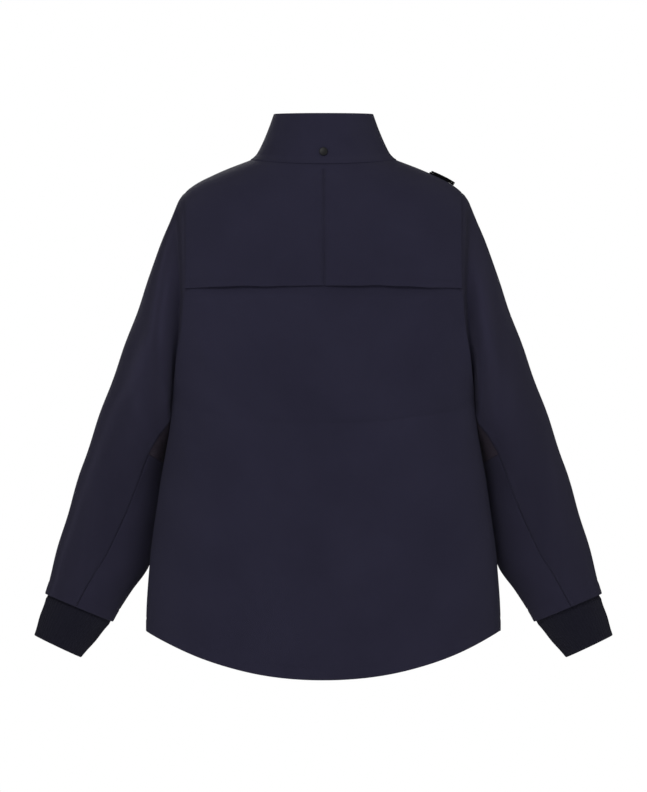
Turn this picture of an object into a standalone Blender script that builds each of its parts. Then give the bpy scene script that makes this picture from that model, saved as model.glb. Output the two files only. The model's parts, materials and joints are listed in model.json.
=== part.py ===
"""Foul weather jacket, modelled as worn by an unseen body.

Metres, +Z up. The zip side faces -Y and the back faces +Y, so the wearer's left is +X.
The origin is where a hook carries the hanger loop, inside the back of the neck.
"""

import math

import bmesh
import bpy
import numpy as np
from mathutils import Matrix, Vector

# ---- driving dimensions ----
BACK_LENGTH = 0.735  # collar seam to the lowest point of the hem
COLLAR_HEIGHT = 0.068  # stand collar at the centre back
COLLAR_TOP_HALF = 0.0706
COLLAR_FRONT_DIP = 0.018  # how much lower the collar's top is at the zip
NECK_HALF = 0.102
NECK_FRONT_DROP = 0.056  # collar seam at the zip, below the one at the back
SHOULDER_HALF = 0.1965
SHOULDER_DROP = 0.044
ARMHOLE_DEPTH = 0.301
CHEST_HALF = 0.216
HEM_HALF = 0.252
HEM_SIDE_RISE = 0.068
HEM_FRONT_RISE = 0.030
VENT_DROP = 0.177  # collar seam to the edge of the cape at the centre back
VENT_FLAP_HEIGHT = 0.042
VENT_END_MARGIN = 0.005
VENT_EDGE_GAP = 0.0020  # between the cape's edge and the panel below it
BACK_NECK_Y = 0.010
BACK_CHEST_Y = 0.040
BACK_HEM_Y = 0.032
FRONT_NECK_Y = -0.139
FRONT_LEAN = 0.0748  # metres forward for each metre down
ROUNDNESS = 2.3  # exponent of the body's oval sections

FABRIC = 0.0022
LINING = 0.0010
SEAM_GAP = 0.0004
SLEEVE_SEAM_GAP = 0.0013  # wider, because these seams lie on a fold
GUSSET_SEAM_GAP = 1.45 * FABRIC
COLLAR_GAP = 0.0010
LAYER_GAP = 0.0006
VENT_SPACE = 0.0024  # between the cape and the mesh behind it
FLAP_STAND_OFF = 0.001
SLEEVE_CLEARANCE = 0.0022
SLEEVE_JOIN_GAP = 0.0012
LOW_ROWS = 10  # rows of facets in a front, below the armhole
GUSSET_SHARE = 0.45  # share of the sleeve, from armhole to hem, that the mesh runs down
ELBOW = 0.5
ELBOW_STAND_OFF = 0.0015

CUFF_THICKNESS = 0.0030
CUFF_JOIN_GAP = 0.0008

SPLIT_HEM_X = 0.095  # line that a front panel folds open along
SPLIT_TOP_X = 0.050
FOLD_TOP_Z = -0.080
FOLD_STAND_OFF = 0.004
FRONT_RIM_TURN = 0.42  # round the hem from the zip to the folding line
WAIST_Z = -0.200  # a front's rows follow the body below it, and the neck above it
FACING_INNER_X = 0.0012
FACING_RISE = 0.004
FACING_SPACE = 0.0022
FACING_SEAM_GAP = 0.0012
ZIP_EDGE_X = 0.0125
TOOTH_WIDTH = 0.0028
TOOTH_HEIGHT = 0.0026
CHAIN_GAP = 0.0012
TAPE_THICKNESS = 0.0008
TAPE_EDGE_X = 0.0165
CHAIN_STOP = 0.002  # chain that the left side has past the slider, at each end
SLIDER_LENGTH = 0.012
SLIDER_HALF_WIDTH = 0.0056
SLIDER_PLATE = 0.0012
SLIDER_WEB = 0.0006
SLIDER_CLEARANCE = 0.0006
BOX_LENGTH = 0.010
BOX_HALF_WIDTH = 0.005
BOX_THICKNESS = 0.0042
BOX_RISE = 0.001
PULL_LENGTH = 0.024
PULL_WIDTH = 0.0060
PULL_THICKNESS = 0.0014
PULL_OFFSET = 0.0006  # keeps the pull over the left half of the slider

POCKET_TOP_Z = -0.430
POCKET_LENGTH = 0.160
POCKET_TURN = math.radians(44)  # round the section from the zip
POCKET_BAR_WIDTH = 0.011
POCKET_BAR_THICKNESS = 0.0014
POCKET_BAG_WIDTH = math.radians(34)
POCKET_SLIDER_SIZE = (0.006, 0.0020, 0.009)
POCKET_PULL_SIZE = (0.005, 0.0012, 0.020)
HARDWARE_GAP = 0.0004
SOFT_EDGE = 0.0004
POCKET_BAR_STAND_OFF = 0.0016
POCKET_BAG_SPACE = 0.0016
POCKET_SLIDER_DOWN = 0.010

SNAP_HEIGHT = 0.013
SNAP_RADIUS = 0.0062
SNAP_CAP_THICKNESS = 0.0024
SNAP_POST_RADIUS = 0.0016
SNAP_HOLE_CLEARANCE = 0.0004
SNAP_HOLE_LENGTH = 0.020
SNAP_STAND_OFF = 0.0006
SNAP_GAP = 0.0003
SNAP_WASHER_RADIUS = 0.0048
SNAP_WASHER_THICKNESS = 0.0008

LOOP_HALF = 0.030
LOOP_WIDTH = 0.008
LOOP_THICKNESS = 0.0014
LOOP_STAND_OFF = 0.0012

TAB_LENGTH = 0.037
TAB_WIDTH = 0.020
TAB_THICKNESS = 0.0018
TAB_CENTRE_X = -0.1665
TAB_STAND_OFF = 0.0012
TAB_LAYER_GAP = 0.0003
TAB_SETBACK = 0.002  # how much shorter the upper layer is

UNDERARM_Z = -(SHOULDER_DROP + ARMHOLE_DEPTH)
LEFT, RIGHT = 1, -1
SIDES = (("left", LEFT), ("right", RIGHT))


# ---- curves ----
def smooth(keys):
    """A curve through (place, value) keys that keeps each stretch rising or falling."""
    keys = sorted(keys)
    place = np.array([k[0] for k in keys], float)
    value = np.array([k[1] for k in keys], float)
    step = np.diff(place)
    rise = np.diff(value) / step
    slope = np.zeros(len(place))
    slope[0], slope[-1] = rise[0], rise[-1]
    for i in range(1, len(place) - 1):
        if rise[i - 1] * rise[i] > 0:
            slope[i] = 2 * rise[i - 1] * rise[i] / (rise[i - 1] + rise[i])

    def curve(at):
        at = np.clip(np.asarray(at, float), place[0], place[-1])
        i = np.clip(np.searchsorted(place, at, side="right") - 1, 0, len(step) - 1)
        h = step[i]
        q = (at - place[i]) / h
        start = (1 + 2 * q) * (1 - q) ** 2 * value[i] + q * (1 - q) ** 2 * h * slope[i]
        end = q * q * (3 - 2 * q) * value[i + 1] - q * q * (1 - q) * h * slope[i + 1]
        return start + end

    return curve


def mix(a, b, share):
    return a + (b - a) * share


def ease(share):
    share = np.clip(share, 0.0, 1.0)
    return share * share * (3 - 2 * share)


def rounded(value):
    """Sine or cosine turned into the oval's coordinate, from -1 to 1."""
    return np.sign(value) * np.abs(value) ** (2 / ROUNDNESS)


# ---- the body's surface ----
SHOULDER_SLOPE_X = SHOULDER_HALF - NECK_HALF
half_width = smooth(
    [
        (0.003, NECK_HALF),
        (-0.70 * SHOULDER_DROP, NECK_HALF + 0.82 * SHOULDER_SLOPE_X),
        (-SHOULDER_DROP, SHOULDER_HALF),
        (-SHOULDER_DROP - 0.030, SHOULDER_HALF + 0.024),
        (-SHOULDER_DROP - 0.32 * ARMHOLE_DEPTH, SHOULDER_HALF + 0.037),
        (-SHOULDER_DROP - 0.70 * ARMHOLE_DEPTH, mix(SHOULDER_HALF, CHEST_HALF, 0.4) + 0.027),
        (UNDERARM_Z, CHEST_HALF),
        (mix(UNDERARM_Z, -BACK_LENGTH, 0.30), mix(CHEST_HALF, HEM_HALF, 0.46)),
        (mix(UNDERARM_Z, -BACK_LENGTH, 0.58), mix(CHEST_HALF, HEM_HALF, 0.86)),
        (mix(UNDERARM_Z, -BACK_LENGTH, 0.80), HEM_HALF),
        (-BACK_LENGTH, HEM_HALF),
    ]
)
arm_edge = smooth(
    [
        (-SHOULDER_DROP, SHOULDER_HALF),
        (-SHOULDER_DROP - 0.35 * ARMHOLE_DEPTH, SHOULDER_HALF - 0.0005),
        (-SHOULDER_DROP - 0.60 * ARMHOLE_DEPTH, mix(SHOULDER_HALF, CHEST_HALF, 0.22)),
        (-SHOULDER_DROP - 0.79 * ARMHOLE_DEPTH, mix(SHOULDER_HALF, CHEST_HALF, 0.66)),
        (UNDERARM_Z, CHEST_HALF),
    ]
)
back_line = smooth(
    [
        (COLLAR_HEIGHT, 0.0),
        (0.0, BACK_NECK_Y),
        (-0.05, mix(BACK_NECK_Y, BACK_CHEST_Y, 0.53)),
        (-0.15, BACK_CHEST_Y),
        (-0.30, BACK_CHEST_Y),
        (-BACK_LENGTH, BACK_HEM_Y),
    ]
)


def front_line(z):
    return FRONT_NECK_Y + FRONT_LEAN * np.asarray(z, float)


def middle(z):
    return (back_line(z) + front_line(z)) / 2


def half_depth(z):
    return (back_line(z) - front_line(z)) / 2


def oval_share(ratio):
    """The oval's other coordinate, where one of them is this share of its half size."""
    return np.clip(1 - np.clip(np.abs(ratio), 0, 1) ** ROUNDNESS, 0, 1) ** (1 / ROUNDNESS)


def turned(angle, z):
    """Point on the body: angle 0 is the centre back, a half turn is the zip."""
    x = half_width(z) * rounded(np.sin(angle))
    y = middle(z) + half_depth(z) * rounded(np.cos(angle))
    return np.stack(np.broadcast_arrays(x, y, z), -1)


def faced(x, z, face):
    """Point on the back (face 1) or the front (face -1) at a given width and height."""
    y = middle(z) + face * half_depth(z) * oval_share(x / half_width(z))
    return np.stack(np.broadcast_arrays(x, y, z), -1)


def body_reach(y, z):
    """How far the body comes out sideways at a depth and height."""
    reach = half_width(z) * oval_share((y - middle(z)) / half_depth(z))
    return np.where(z > UNDERARM_Z, np.minimum(reach, arm_edge(z)), reach)


def edge_turn(z):
    """Turn from the centre at which the body ends, at its armhole or its side seam."""
    open_arm = (z > UNDERARM_Z) & (z < -SHOULDER_DROP)
    ratio = np.where(open_arm, np.clip(arm_edge(z) / half_width(z), 0, 1), 1.0)
    return np.arcsin(ratio ** (ROUNDNESS / 2))


def hem_z(x, front=False):
    low = HEM_FRONT_RISE if front else 0.0
    return -BACK_LENGTH + low + (HEM_SIDE_RISE - low) * np.abs(x / HEM_HALF) ** 2.15


def neck_z(angle):
    front = np.clip(-np.cos(angle), 0, 1)
    return -0.002 + 0.005 * np.sin(angle) ** 2 - (NECK_FRONT_DROP - 0.002) * front**1.2


def neck_point(angle):
    x = NECK_HALF * rounded(np.sin(angle))
    return faced(x, neck_z(angle), np.where(np.cos(angle) >= 0, 1.0, -1.0))


def collar_point(angle, share):
    """share runs from 0 at the collar's seam to 1 at its top."""
    low = neck_point(angle)
    top_z = COLLAR_HEIGHT - COLLAR_FRONT_DIP * np.clip(-np.cos(angle), 0, 1) ** 1.5
    top_front = front_line(COLLAR_HEIGHT - COLLAR_FRONT_DIP)
    top_back = back_line(COLLAR_HEIGHT)
    top_y = mix(top_front, top_back, (1 + rounded(np.cos(angle))) / 2)
    top_x = COLLAR_TOP_HALF * rounded(np.sin(angle))
    flare = share**0.7
    x, z = mix(low[..., 0], top_x, flare), mix(low[..., 2], top_z, share)
    y = mix(low[..., 1], top_y, np.where(np.cos(angle) < 0, share, flare))
    return np.stack(np.broadcast_arrays(x, y, z), -1)


# ---- the sleeve's surface ----
def sleeve_line(places):
    return [smooth([(t, p[i]) for t, p in places]) for i in (0, 1)]


OUTER_X, OUTER_Z = sleeve_line(
    [
        (0.0, (SHOULDER_HALF + 0.0012, -SHOULDER_DROP - 0.001)),
        (0.12, (SHOULDER_HALF + 0.0305, -SHOULDER_DROP - 0.062)),
        (0.25, (SHOULDER_HALF + 0.0640, -SHOULDER_DROP - 0.156)),
        (0.50, (SHOULDER_HALF + 0.1392, -SHOULDER_DROP - 0.3645)),
        (0.75, (SHOULDER_HALF + 0.1765, -SHOULDER_DROP - 0.4850)),
        (1.0, (SHOULDER_HALF + 0.2005, -SHOULDER_DROP - 0.5710)),
    ]
)
INNER_X, INNER_Z = sleeve_line(
    [
        (0.0, (CHEST_HALF, UNDERARM_Z)),
        (0.25, (CHEST_HALF + 0.0030, UNDERARM_Z - 0.040)),
        (0.50, (CHEST_HALF + 0.0100, UNDERARM_Z - 0.100)),
        (0.75, (CHEST_HALF + 0.0356, UNDERARM_Z - 0.223)),
        (0.875, (CHEST_HALF + 0.0600, UNDERARM_Z - 0.2665)),
        (1.0, (CHEST_HALF + 0.0845, UNDERARM_Z - 0.310)),
    ]
)
SLEEVE_Y = smooth([(0.0, -0.067), (0.25, -0.095), (0.5, -0.118), (0.75, -0.125), (1.0, -0.130)])
SLEEVE_DEPTH = smooth([(0.0, 0.072), (0.25, 0.068), (0.5, 0.053), (0.75, 0.046), (1.0, 0.040)])
CUFF_TOP_IN = Vector((CHEST_HALF + 0.0883, -0.132, UNDERARM_Z - 0.3116))
CUFF_TOP_OUT = Vector((SHOULDER_HALF + 0.1985, -0.132, -SHOULDER_DROP - 0.5753))
CUFF_END_IN = Vector((CHEST_HALF + 0.1302, -0.139, UNDERARM_Z - 0.3612))
CUFF_END_OUT = Vector((SHOULDER_HALF + 0.2162, -0.139, -SHOULDER_DROP - 0.6304))
CUFF_DEPTH = (0.0375, 0.0330)


def sleeve_section(t, turn):
    """Point on the left sleeve: t runs from armhole to hem, turn 0 is the outer edge."""
    along = (1 + np.cos(turn)) / 2
    x = mix(INNER_X(t), OUTER_X(t), along)
    z = mix(INNER_Z(t), OUTER_Z(t), along)
    arm_z = mix(UNDERARM_Z, -SHOULDER_DROP, along)
    opening = half_depth(arm_z) * oval_share(np.clip(arm_edge(arm_z) / half_width(arm_z), 0, 1))
    arm_y = middle(arm_z) + np.sign(np.sin(turn)) * opening
    free = ease(t / 0.38)
    x = x + (1 - free) * (arm_edge(arm_z) - mix(CHEST_HALF, SHOULDER_HALF, along))
    y = mix(arm_y, SLEEVE_Y(t) + SLEEVE_DEPTH(t) * np.sin(turn), free)
    return x, y, z


def sleeve_point(t, turn):
    x, y, z = sleeve_section(t, turn)
    clear = body_reach(y, z) + SLEEVE_CLEARANCE * ease(t / 0.05)
    x = np.maximum(x, clear) + SLEEVE_JOIN_GAP * (1 - ease(t / 0.05))
    return np.stack(np.broadcast_arrays(x, y, z), -1)


def sleeve_core(t):
    x, z = (INNER_X(t) + OUTER_X(t)) / 2, (INNER_Z(t) + OUTER_Z(t)) / 2
    return np.stack(np.broadcast_arrays(x, SLEEVE_Y(t), z), -1)


REAR_SEAM = smooth([(0.0, 2.84), (0.25, 2.70), (0.37, 2.39), (0.45, 2.13), (0.55, 2.02),
                    (0.75, 1.66), (1.0, 1.49)])
FRONT_SEAM = smooth([(0.0, 2.84), (0.22, 2.66), (0.5, 2.40), (1.0, 2.30)])


# ---- building ----
MODEL = bpy.data.collections.new("foul_weather_jacket")
CUTTERS = bpy.data.collections.new("cutters")


def finish_material(name, colour, roughness, metallic=0.0):
    made = bpy.data.materials.new(name)
    made.use_nodes = True
    shader = made.node_tree.nodes["Principled BSDF"]
    shader.inputs["Base Color"].default_value = (*colour, 1.0)
    shader.inputs["Roughness"].default_value = roughness
    shader.inputs["Metallic"].default_value = metallic
    return made


FINISHES = {
    "shell": ((0.022, 0.021, 0.036), 0.75, 0.0),
    "sleeve": ((0.020, 0.019, 0.033), 0.78, 0.0),
    "knit": ((0.012, 0.012, 0.020), 0.92, 0.0),
    "mesh": ((0.016, 0.012, 0.018), 0.88, 0.0),
    "lining": ((0.030, 0.030, 0.042), 0.80, 0.0),
    "tape": ((0.012, 0.012, 0.020), 0.85, 0.0),
    "tooth": ((0.010, 0.010, 0.014), 0.40, 0.0),
    "metal": ((0.014, 0.014, 0.016), 0.35, 0.8),
    "tab": ((0.006, 0.006, 0.007), 0.70, 0.0),
}


def place(obj, finish, pivot=None):
    colour, roughness, metallic = FINISHES[finish]
    obj.data.materials.clear()
    obj.data.materials.append(finish_material(obj.name, colour, roughness, metallic))
    for owner in list(obj.users_collection):
        owner.objects.unlink(obj)
    MODEL.objects.link(obj)
    if pivot is not None:
        obj.parent = pivot
        obj.location = obj.location - pivot.location
    return obj


def pivot_at(name, point):
    empty = bpy.data.objects.new(name, None)
    empty.location = point
    empty.empty_display_size = 0.02
    MODEL.objects.link(empty)
    return empty


def seam_inset(grid, gap, wrap):
    """Draws the edges of a grid of points back from its seams."""
    grid = grid.copy()
    pairs = [((slice(None), 0), (slice(None), 1)), ((slice(None), -1), (slice(None), -2))]
    if not wrap:
        pairs += [((0,), (1,)), ((-1,), (-2,))]
    for edge, inner in pairs:
        step = grid[inner] - grid[edge]
        length = np.maximum(np.linalg.norm(step, axis=-1, keepdims=True), 1e-9)
        grid[edge] += step / length * gap
    return grid


def facing_out(grid, core, wrap):
    """Unit normals of a grid of points, pointing away from core."""
    if wrap:
        across = np.roll(grid, -1, 0) - np.roll(grid, 1, 0)
    else:
        across = np.gradient(grid, axis=0)
    normal = np.cross(across, np.gradient(grid, axis=1))
    normal /= np.maximum(np.linalg.norm(normal, axis=-1, keepdims=True), 1e-12)
    outward = np.sum(normal * (grid - core)) > 0
    return normal if outward else -normal, outward


def panel(name, grid, core, finish, thickness=FABRIC, depth=0.0, wrap=False, pivot=None,
          gap=SEAM_GAP):
    """A cut piece of cloth: an open surface, set in by depth, with Solidify for its thickness."""
    grid = seam_inset(grid, gap, wrap)
    normal, outward = facing_out(grid, core, wrap)
    grid = grid - normal * depth
    columns, rows = grid.shape[:2]
    faces = []
    for i in range(columns if wrap else columns - 1):
        for j in range(rows - 1):
            k = (i + 1) % columns
            face = (i * rows + j, k * rows + j, k * rows + j + 1, i * rows + j + 1)
            faces.append(face if outward else face[::-1])
    mesh = bpy.data.meshes.new(name)
    mesh.from_pydata(grid.reshape(-1, 3).tolist(), [], faces)
    mesh.shade_smooth()
    obj = bpy.data.objects.new(name, mesh)
    MODEL.objects.link(obj)
    wall = obj.modifiers.new("Thickness", "SOLIDIFY")
    wall.thickness = thickness
    wall.offset = -1
    return place(obj, finish, pivot)


def spread(count, low=0.0, high=1.0):
    return np.linspace(low, high, count + 1)


def lattice(across, along):
    return np.meshgrid(across, along, indexing="ij")


def body_core(grid):
    core = grid.copy()
    core[..., 0] *= 0.4
    core[..., 1] = middle(grid[..., 2])
    return core


# ---- back, cape and vent ----
def vent_z(x):
    return -VENT_DROP - 0.0035 * (x / SHOULDER_HALF) ** 2


def back_grid():
    u, v = lattice(spread(20, -1, 1), spread(13))
    low = hem_z(HEM_HALF * rounded(np.sin(u * math.pi / 2)))
    z = mix(low, vent_z(u * SHOULDER_HALF) - VENT_EDGE_GAP, v)
    return turned(u * edge_turn(z), z)


def back_panel():
    grid = back_grid()
    panel("back_panel", grid, body_core(grid), "shell")


def upper_grid(side, face, columns, rows, foot_x, foot_z, head_x, head_z):
    """Columns that run from a foot line up to the neck and the shoulder seam."""
    v = 1 - (1 - spread(rows)) ** 2
    u, v = lattice(spread(columns), v)
    z = mix(foot_z[:, None], head_z[:, None], v)
    straight = mix(foot_x[:, None], head_x[:, None], v)
    edge = arm_edge(z) - mix(foot_x[-1], head_x[-1], v)
    x = straight + u**3 * edge
    x = np.minimum(x, half_width(z))
    grid = faced(x, z, face)
    grid[..., 0] *= side
    return grid


def yoke(name, side, neck_columns=4, shoulder_columns=5):
    turn = spread(neck_columns, 0, math.pi / 2)
    neck = neck_point(turn)
    shoulder_z = spread(shoulder_columns, neck[-1, 2], -SHOULDER_DROP)[1:]
    head_x = np.concatenate([neck[:, 0], half_width(shoulder_z)])
    head_z = np.concatenate([neck[:, 2], shoulder_z])
    foot_x = spread(neck_columns + shoulder_columns) * arm_edge(-VENT_DROP)
    foot_z = np.full_like(foot_x, -VENT_DROP + VENT_FLAP_HEIGHT)
    grid = upper_grid(side, 1, neck_columns + shoulder_columns, 7, foot_x, foot_z, head_x, head_z)
    panel(name, grid, body_core(grid), "shell")


def vent_flap(name, side, pivot):
    u, v = lattice(spread(8), spread(2))
    wide = SHOULDER_HALF - VENT_END_MARGIN
    z = mix(vent_z(u * wide), -VENT_DROP + VENT_FLAP_HEIGHT, v)
    grid = faced(u * wide, z, 1)
    grid[..., 0] *= side
    panel(name, grid, body_core(grid), "shell", pivot=pivot)


def vent_mesh():
    wide = SHOULDER_HALF - 3 * VENT_END_MARGIN
    low, high = -VENT_DROP - 0.030, -VENT_DROP + VENT_FLAP_HEIGHT + 0.010
    x, z = lattice(spread(16, -wide, wide), spread(3, low, high))
    grid = faced(x, z, 1)
    panel("vent_mesh", grid, body_core(grid), "mesh", LINING, FABRIC + VENT_SPACE)


def back_lining():
    grid = back_grid()[1:-1, 1:-2]
    panel("back_lining", grid, body_core(grid), "lining", LINING, FABRIC + LAYER_GAP)


# ---- fronts ----
def split_x(z):
    share = (np.asarray(z) + BACK_LENGTH) / (BACK_LENGTH + COLLAR_HEIGHT)
    return mix(SPLIT_HEM_X, SPLIT_TOP_X, share)


def neck_turn_at(x):
    """Turn from the centre back at which the front neckline is at this width."""
    return math.pi - np.arcsin((x / NECK_HALF) ** (ROUNDNESS / 2))


def split_neck():
    """Width at which the folding line meets the collar seam."""
    x = SPLIT_TOP_X
    for _ in range(12):
        x = float(split_x(neck_z(neck_turn_at(x))))
    return x


def side_front_grid(side):
    """The front's outer part, from its folding line round to the side and the armhole."""
    columns, low_rows, high_rows, neck_columns = 8, LOW_ROWS, 7, 3
    u, v = lattice(spread(columns), spread(low_rows))
    rim = np.abs(rounded(np.sin(mix(FRONT_RIM_TURN, math.pi / 2, u))))
    z = mix(hem_z(HEM_HALF * rim, front=True), WAIST_Z, v)
    inner = np.arcsin((split_x(z) / half_width(z)) ** (ROUNDNESS / 2))
    lower = turned(math.pi - mix(inner, edge_turn(z), u), z)
    turn = spread(neck_columns, float(neck_turn_at(split_neck())), math.pi / 2)
    neck = neck_point(turn)
    shoulder_z = spread(columns - neck_columns, neck[-1, 2], -SHOULDER_DROP)[1:]
    head_x = np.concatenate([neck[:, 0], half_width(shoulder_z)])
    head_z = np.concatenate([neck[:, 2], shoulder_z])
    foot_x = lower[:, -1, 0]
    foot_z = lower[:, -1, 2]
    upper = upper_grid(1, -1, columns, high_rows, foot_x, foot_z, head_x, head_z)
    grid = np.concatenate([lower, upper[:, 1:]], axis=1)
    grid[..., 0] *= side
    return grid


def centre_front_grid(side, inner_x, foot=0.0, rows=16, columns=3):
    u, v = lattice(spread(columns), spread(rows))
    top_z = neck_z(neck_turn_at(mix(inner_x, split_neck(), u)))
    z = mix(hem_z(mix(inner_x, SPLIT_HEM_X, u), front=True) + foot, top_z, v)
    x = mix(inner_x, split_x(z), u)
    grid = faced(x, z, -1)
    grid[..., 0] *= side
    return grid


def side_lining(name, side):
    grid = side_front_grid(side)[1:-1, 1:LOW_ROWS + 1]
    panel(name, grid, body_core(grid), "lining", LINING, FABRIC + LAYER_GAP)


def fold_axis(side):
    """Foot and head of the line that a front folds open about, just outside the cloth."""
    points = []
    for z in (-BACK_LENGTH + HEM_FRONT_RISE, FOLD_TOP_Z):
        point = faced(split_x(z), z, -1)
        points.append(Vector((side * point[0], point[1] - FOLD_STAND_OFF, point[2])))
    return points


# ---- collar ----
COLLAR_SPLIT = float(neck_turn_at(split_neck()))


def collar_core(grid):
    core = grid.copy()
    core[..., 0] = 0.0
    core[..., 1] = float(middle(COLLAR_HEIGHT))
    return core


def collar_back():
    turn, share = lattice(spread(24, -COLLAR_SPLIT, COLLAR_SPLIT), spread(4))
    grid = collar_point(turn, share)
    obj = panel("collar_back", grid, collar_core(grid), "shell", gap=COLLAR_GAP)
    hole = snap_disc("snap_hole", SNAP_POST_RADIUS + SNAP_HOLE_CLEARANCE,
                     SNAP_HOLE_LENGTH, 0.0)
    cut = obj.modifiers.new("Snap hole", "BOOLEAN")
    cut.operation = "DIFFERENCE"
    cut.object = hole
    for owner in list(hole.users_collection):
        owner.objects.unlink(hole)
    CUTTERS.objects.link(hole)
    hole.hide_render = True
    hole.display_type = "WIRE"


def collar_front(name, side, pivot):
    end = math.pi - math.asin((ZIP_EDGE_X / NECK_HALF) ** (ROUNDNESS / 2))
    turn, share = lattice(spread(4, COLLAR_SPLIT, end), spread(4))
    grid = collar_point(turn, share)
    grid[-1, :, 0] = ZIP_EDGE_X
    grid[..., 0] *= side
    panel(name, grid, collar_core(grid), "shell", pivot=pivot, gap=COLLAR_GAP)


def collar_lining():
    turn, share = lattice(spread(20, -0.94 * COLLAR_SPLIT, 0.94 * COLLAR_SPLIT), spread(3))
    grid = collar_point(turn, mix(0.36, 0.97, share))
    panel("collar_lining", grid, collar_core(grid), "lining", LINING, FABRIC + LAYER_GAP)


# ---- hardware helpers ----
def along_axis(obj, centre, direction):
    obj.location = centre
    obj.rotation_mode = "QUATERNION"
    obj.rotation_quaternion = Vector(direction).to_track_quat("Z", "Y")
    return obj


def disc(name, radius, length, centre, direction, sides=32):
    bpy.ops.mesh.primitive_cylinder_add(vertices=sides, radius=radius, depth=length)
    obj = bpy.context.object
    obj.name = name
    obj.data.name = name
    along_axis(obj, centre, direction)
    obj.data.shade_smooth()
    obj.data.set_sharp_from_angle(angle=math.radians(40))
    return obj


def outline_solid(name, points, length):
    """A flat outline pushed out to a length along its own Z, as one welded mesh."""
    curve = bpy.data.curves.new(name, "CURVE")
    curve.dimensions = "2D"
    curve.fill_mode = "BOTH"
    curve.extrude = length / 2
    spline = curve.splines.new("POLY")
    spline.points.add(len(points) - 1)
    for point, (x, y) in zip(spline.points, points):
        point.co = (x, y, 0.0, 1.0)
    spline.use_cyclic_u = True
    source = bpy.data.objects.new(name, curve)
    bpy.context.scene.collection.objects.link(source)
    bpy.context.view_layer.update()
    seen = source.evaluated_get(bpy.context.evaluated_depsgraph_get())
    mesh = bpy.data.meshes.new_from_object(seen)
    bpy.data.objects.remove(source)
    edit = bmesh.new()
    edit.from_mesh(mesh)
    bmesh.ops.remove_doubles(edit, verts=edit.verts, dist=1e-6)
    bmesh.ops.recalc_face_normals(edit, faces=edit.faces)
    edit.to_mesh(mesh)
    edit.free()
    obj = bpy.data.objects.new(name, mesh)
    bpy.context.scene.collection.objects.link(obj)
    return obj


def block(name, size, centre, frame, bevel=0.0):
    """A box of a size, turned to a frame of three axes."""
    bpy.ops.mesh.primitive_cube_add(size=1)
    obj = bpy.context.object
    obj.name = name
    obj.data.name = name
    obj.data.transform(Matrix.Diagonal((*size, 1)))
    obj.matrix_world = Matrix.Translation(centre) @ frame.to_4x4()
    if bevel:
        soft = obj.modifiers.new("Soft edges", "BEVEL")
        soft.width = bevel
        soft.segments = 1
    return obj


def frame_of(x_axis, z_axis):
    """Rotation whose columns are these two axes and the one that completes them."""
    z_axis = Vector(z_axis).normalized()
    y_axis = z_axis.cross(Vector(x_axis)).normalized()
    x_axis = y_axis.cross(z_axis)
    return Matrix((x_axis, y_axis, z_axis)).transposed()


# ---- snap, loop and shoulder tab ----
def snap_place():
    share = (SNAP_HEIGHT + 0.002) / (COLLAR_HEIGHT + 0.002)
    point = Vector(collar_point(np.array(0.0), np.array(share)))
    above = Vector(collar_point(np.array(0.0), np.array(share + 0.05)))
    up = (above - point).normalized()
    return point, Vector((1, 0, 0)).cross(up) * -1


def snap_disc(name, radius, length, stand_off):
    point, out = snap_place()
    if out.y < 0:
        out = -out
    return disc(name, radius, length, point + out * stand_off, out)


def snap():
    cap = snap_disc("snap_cap", SNAP_RADIUS, SNAP_CAP_THICKNESS,
                    SNAP_STAND_OFF + SNAP_CAP_THICKNESS / 2)
    soft = cap.modifiers.new("Domed rim", "BEVEL")
    soft.width = SNAP_CAP_THICKNESS / 3
    soft.segments = 2
    soft.limit_method = "ANGLE"
    place(cap, "metal")
    inner = FABRIC + SNAP_STAND_OFF
    post_top = SNAP_STAND_OFF - SNAP_GAP
    post_length = post_top + inner
    post = snap_disc("snap_post", SNAP_POST_RADIUS, post_length,
                     post_top - post_length / 2)
    place(post, "metal")
    washer = snap_disc("snap_back", SNAP_WASHER_RADIUS, SNAP_WASHER_THICKNESS,
                       -inner - SNAP_GAP - SNAP_WASHER_THICKNESS / 2)
    place(washer, "metal")


def hanger_loop():
    """A strap sewn down at both ends and bowed forward between them."""
    wall = BACK_NECK_Y - FABRIC - LOOP_STAND_OFF
    share = spread(14, -1, 1)
    bow = 1 - share**4
    end_y = middle(0) + half_depth(0) * oval_share(LOOP_HALF / half_width(0)) - FABRIC
    y = mix(end_y - LOOP_STAND_OFF, 0.0, bow)
    y = np.minimum(y, wall)
    z = spread(1, -LOOP_WIDTH / 2, LOOP_WIDTH / 2)
    grid = np.zeros((15, 2, 3))
    grid[..., 0] = (share * LOOP_HALF)[:, None]
    grid[..., 1] = y[:, None]
    grid[..., 2] = z[None, :]
    core = grid.copy()
    core[..., 1] -= 1.0
    panel("hanger_loop", grid, core, "tab", LOOP_THICKNESS)


def shoulder_tab():
    z_mid = float(np.interp(-TAB_CENTRE_X, half_width(spread(40, 0.0, -SHOULDER_DROP)),
                            spread(40, 0.0, -SHOULDER_DROP)))
    slope = SHOULDER_DROP * 0.7 / (0.82 * SHOULDER_SLOPE_X)
    along = Vector((-1, 0, -slope)).normalized()
    out = Vector((-slope, 0, 1)).normalized()
    frame = frame_of(along, out)
    seam = Vector((TAB_CENTRE_X, float(middle(z_mid)), z_mid))
    base = block("shoulder_tab_base", (TAB_LENGTH, TAB_WIDTH, TAB_THICKNESS),
                 seam + out * (TAB_STAND_OFF + TAB_THICKNESS / 2), frame, SOFT_EDGE)
    place(base, "tab")
    loop = block("shoulder_tab_loop", (TAB_LENGTH - TAB_SETBACK, TAB_WIDTH, TAB_THICKNESS),
                 seam + out * (TAB_STAND_OFF + TAB_LAYER_GAP + 1.5 * TAB_THICKNESS), frame,
                 SOFT_EDGE)
    place(loop, "tab")


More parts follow.
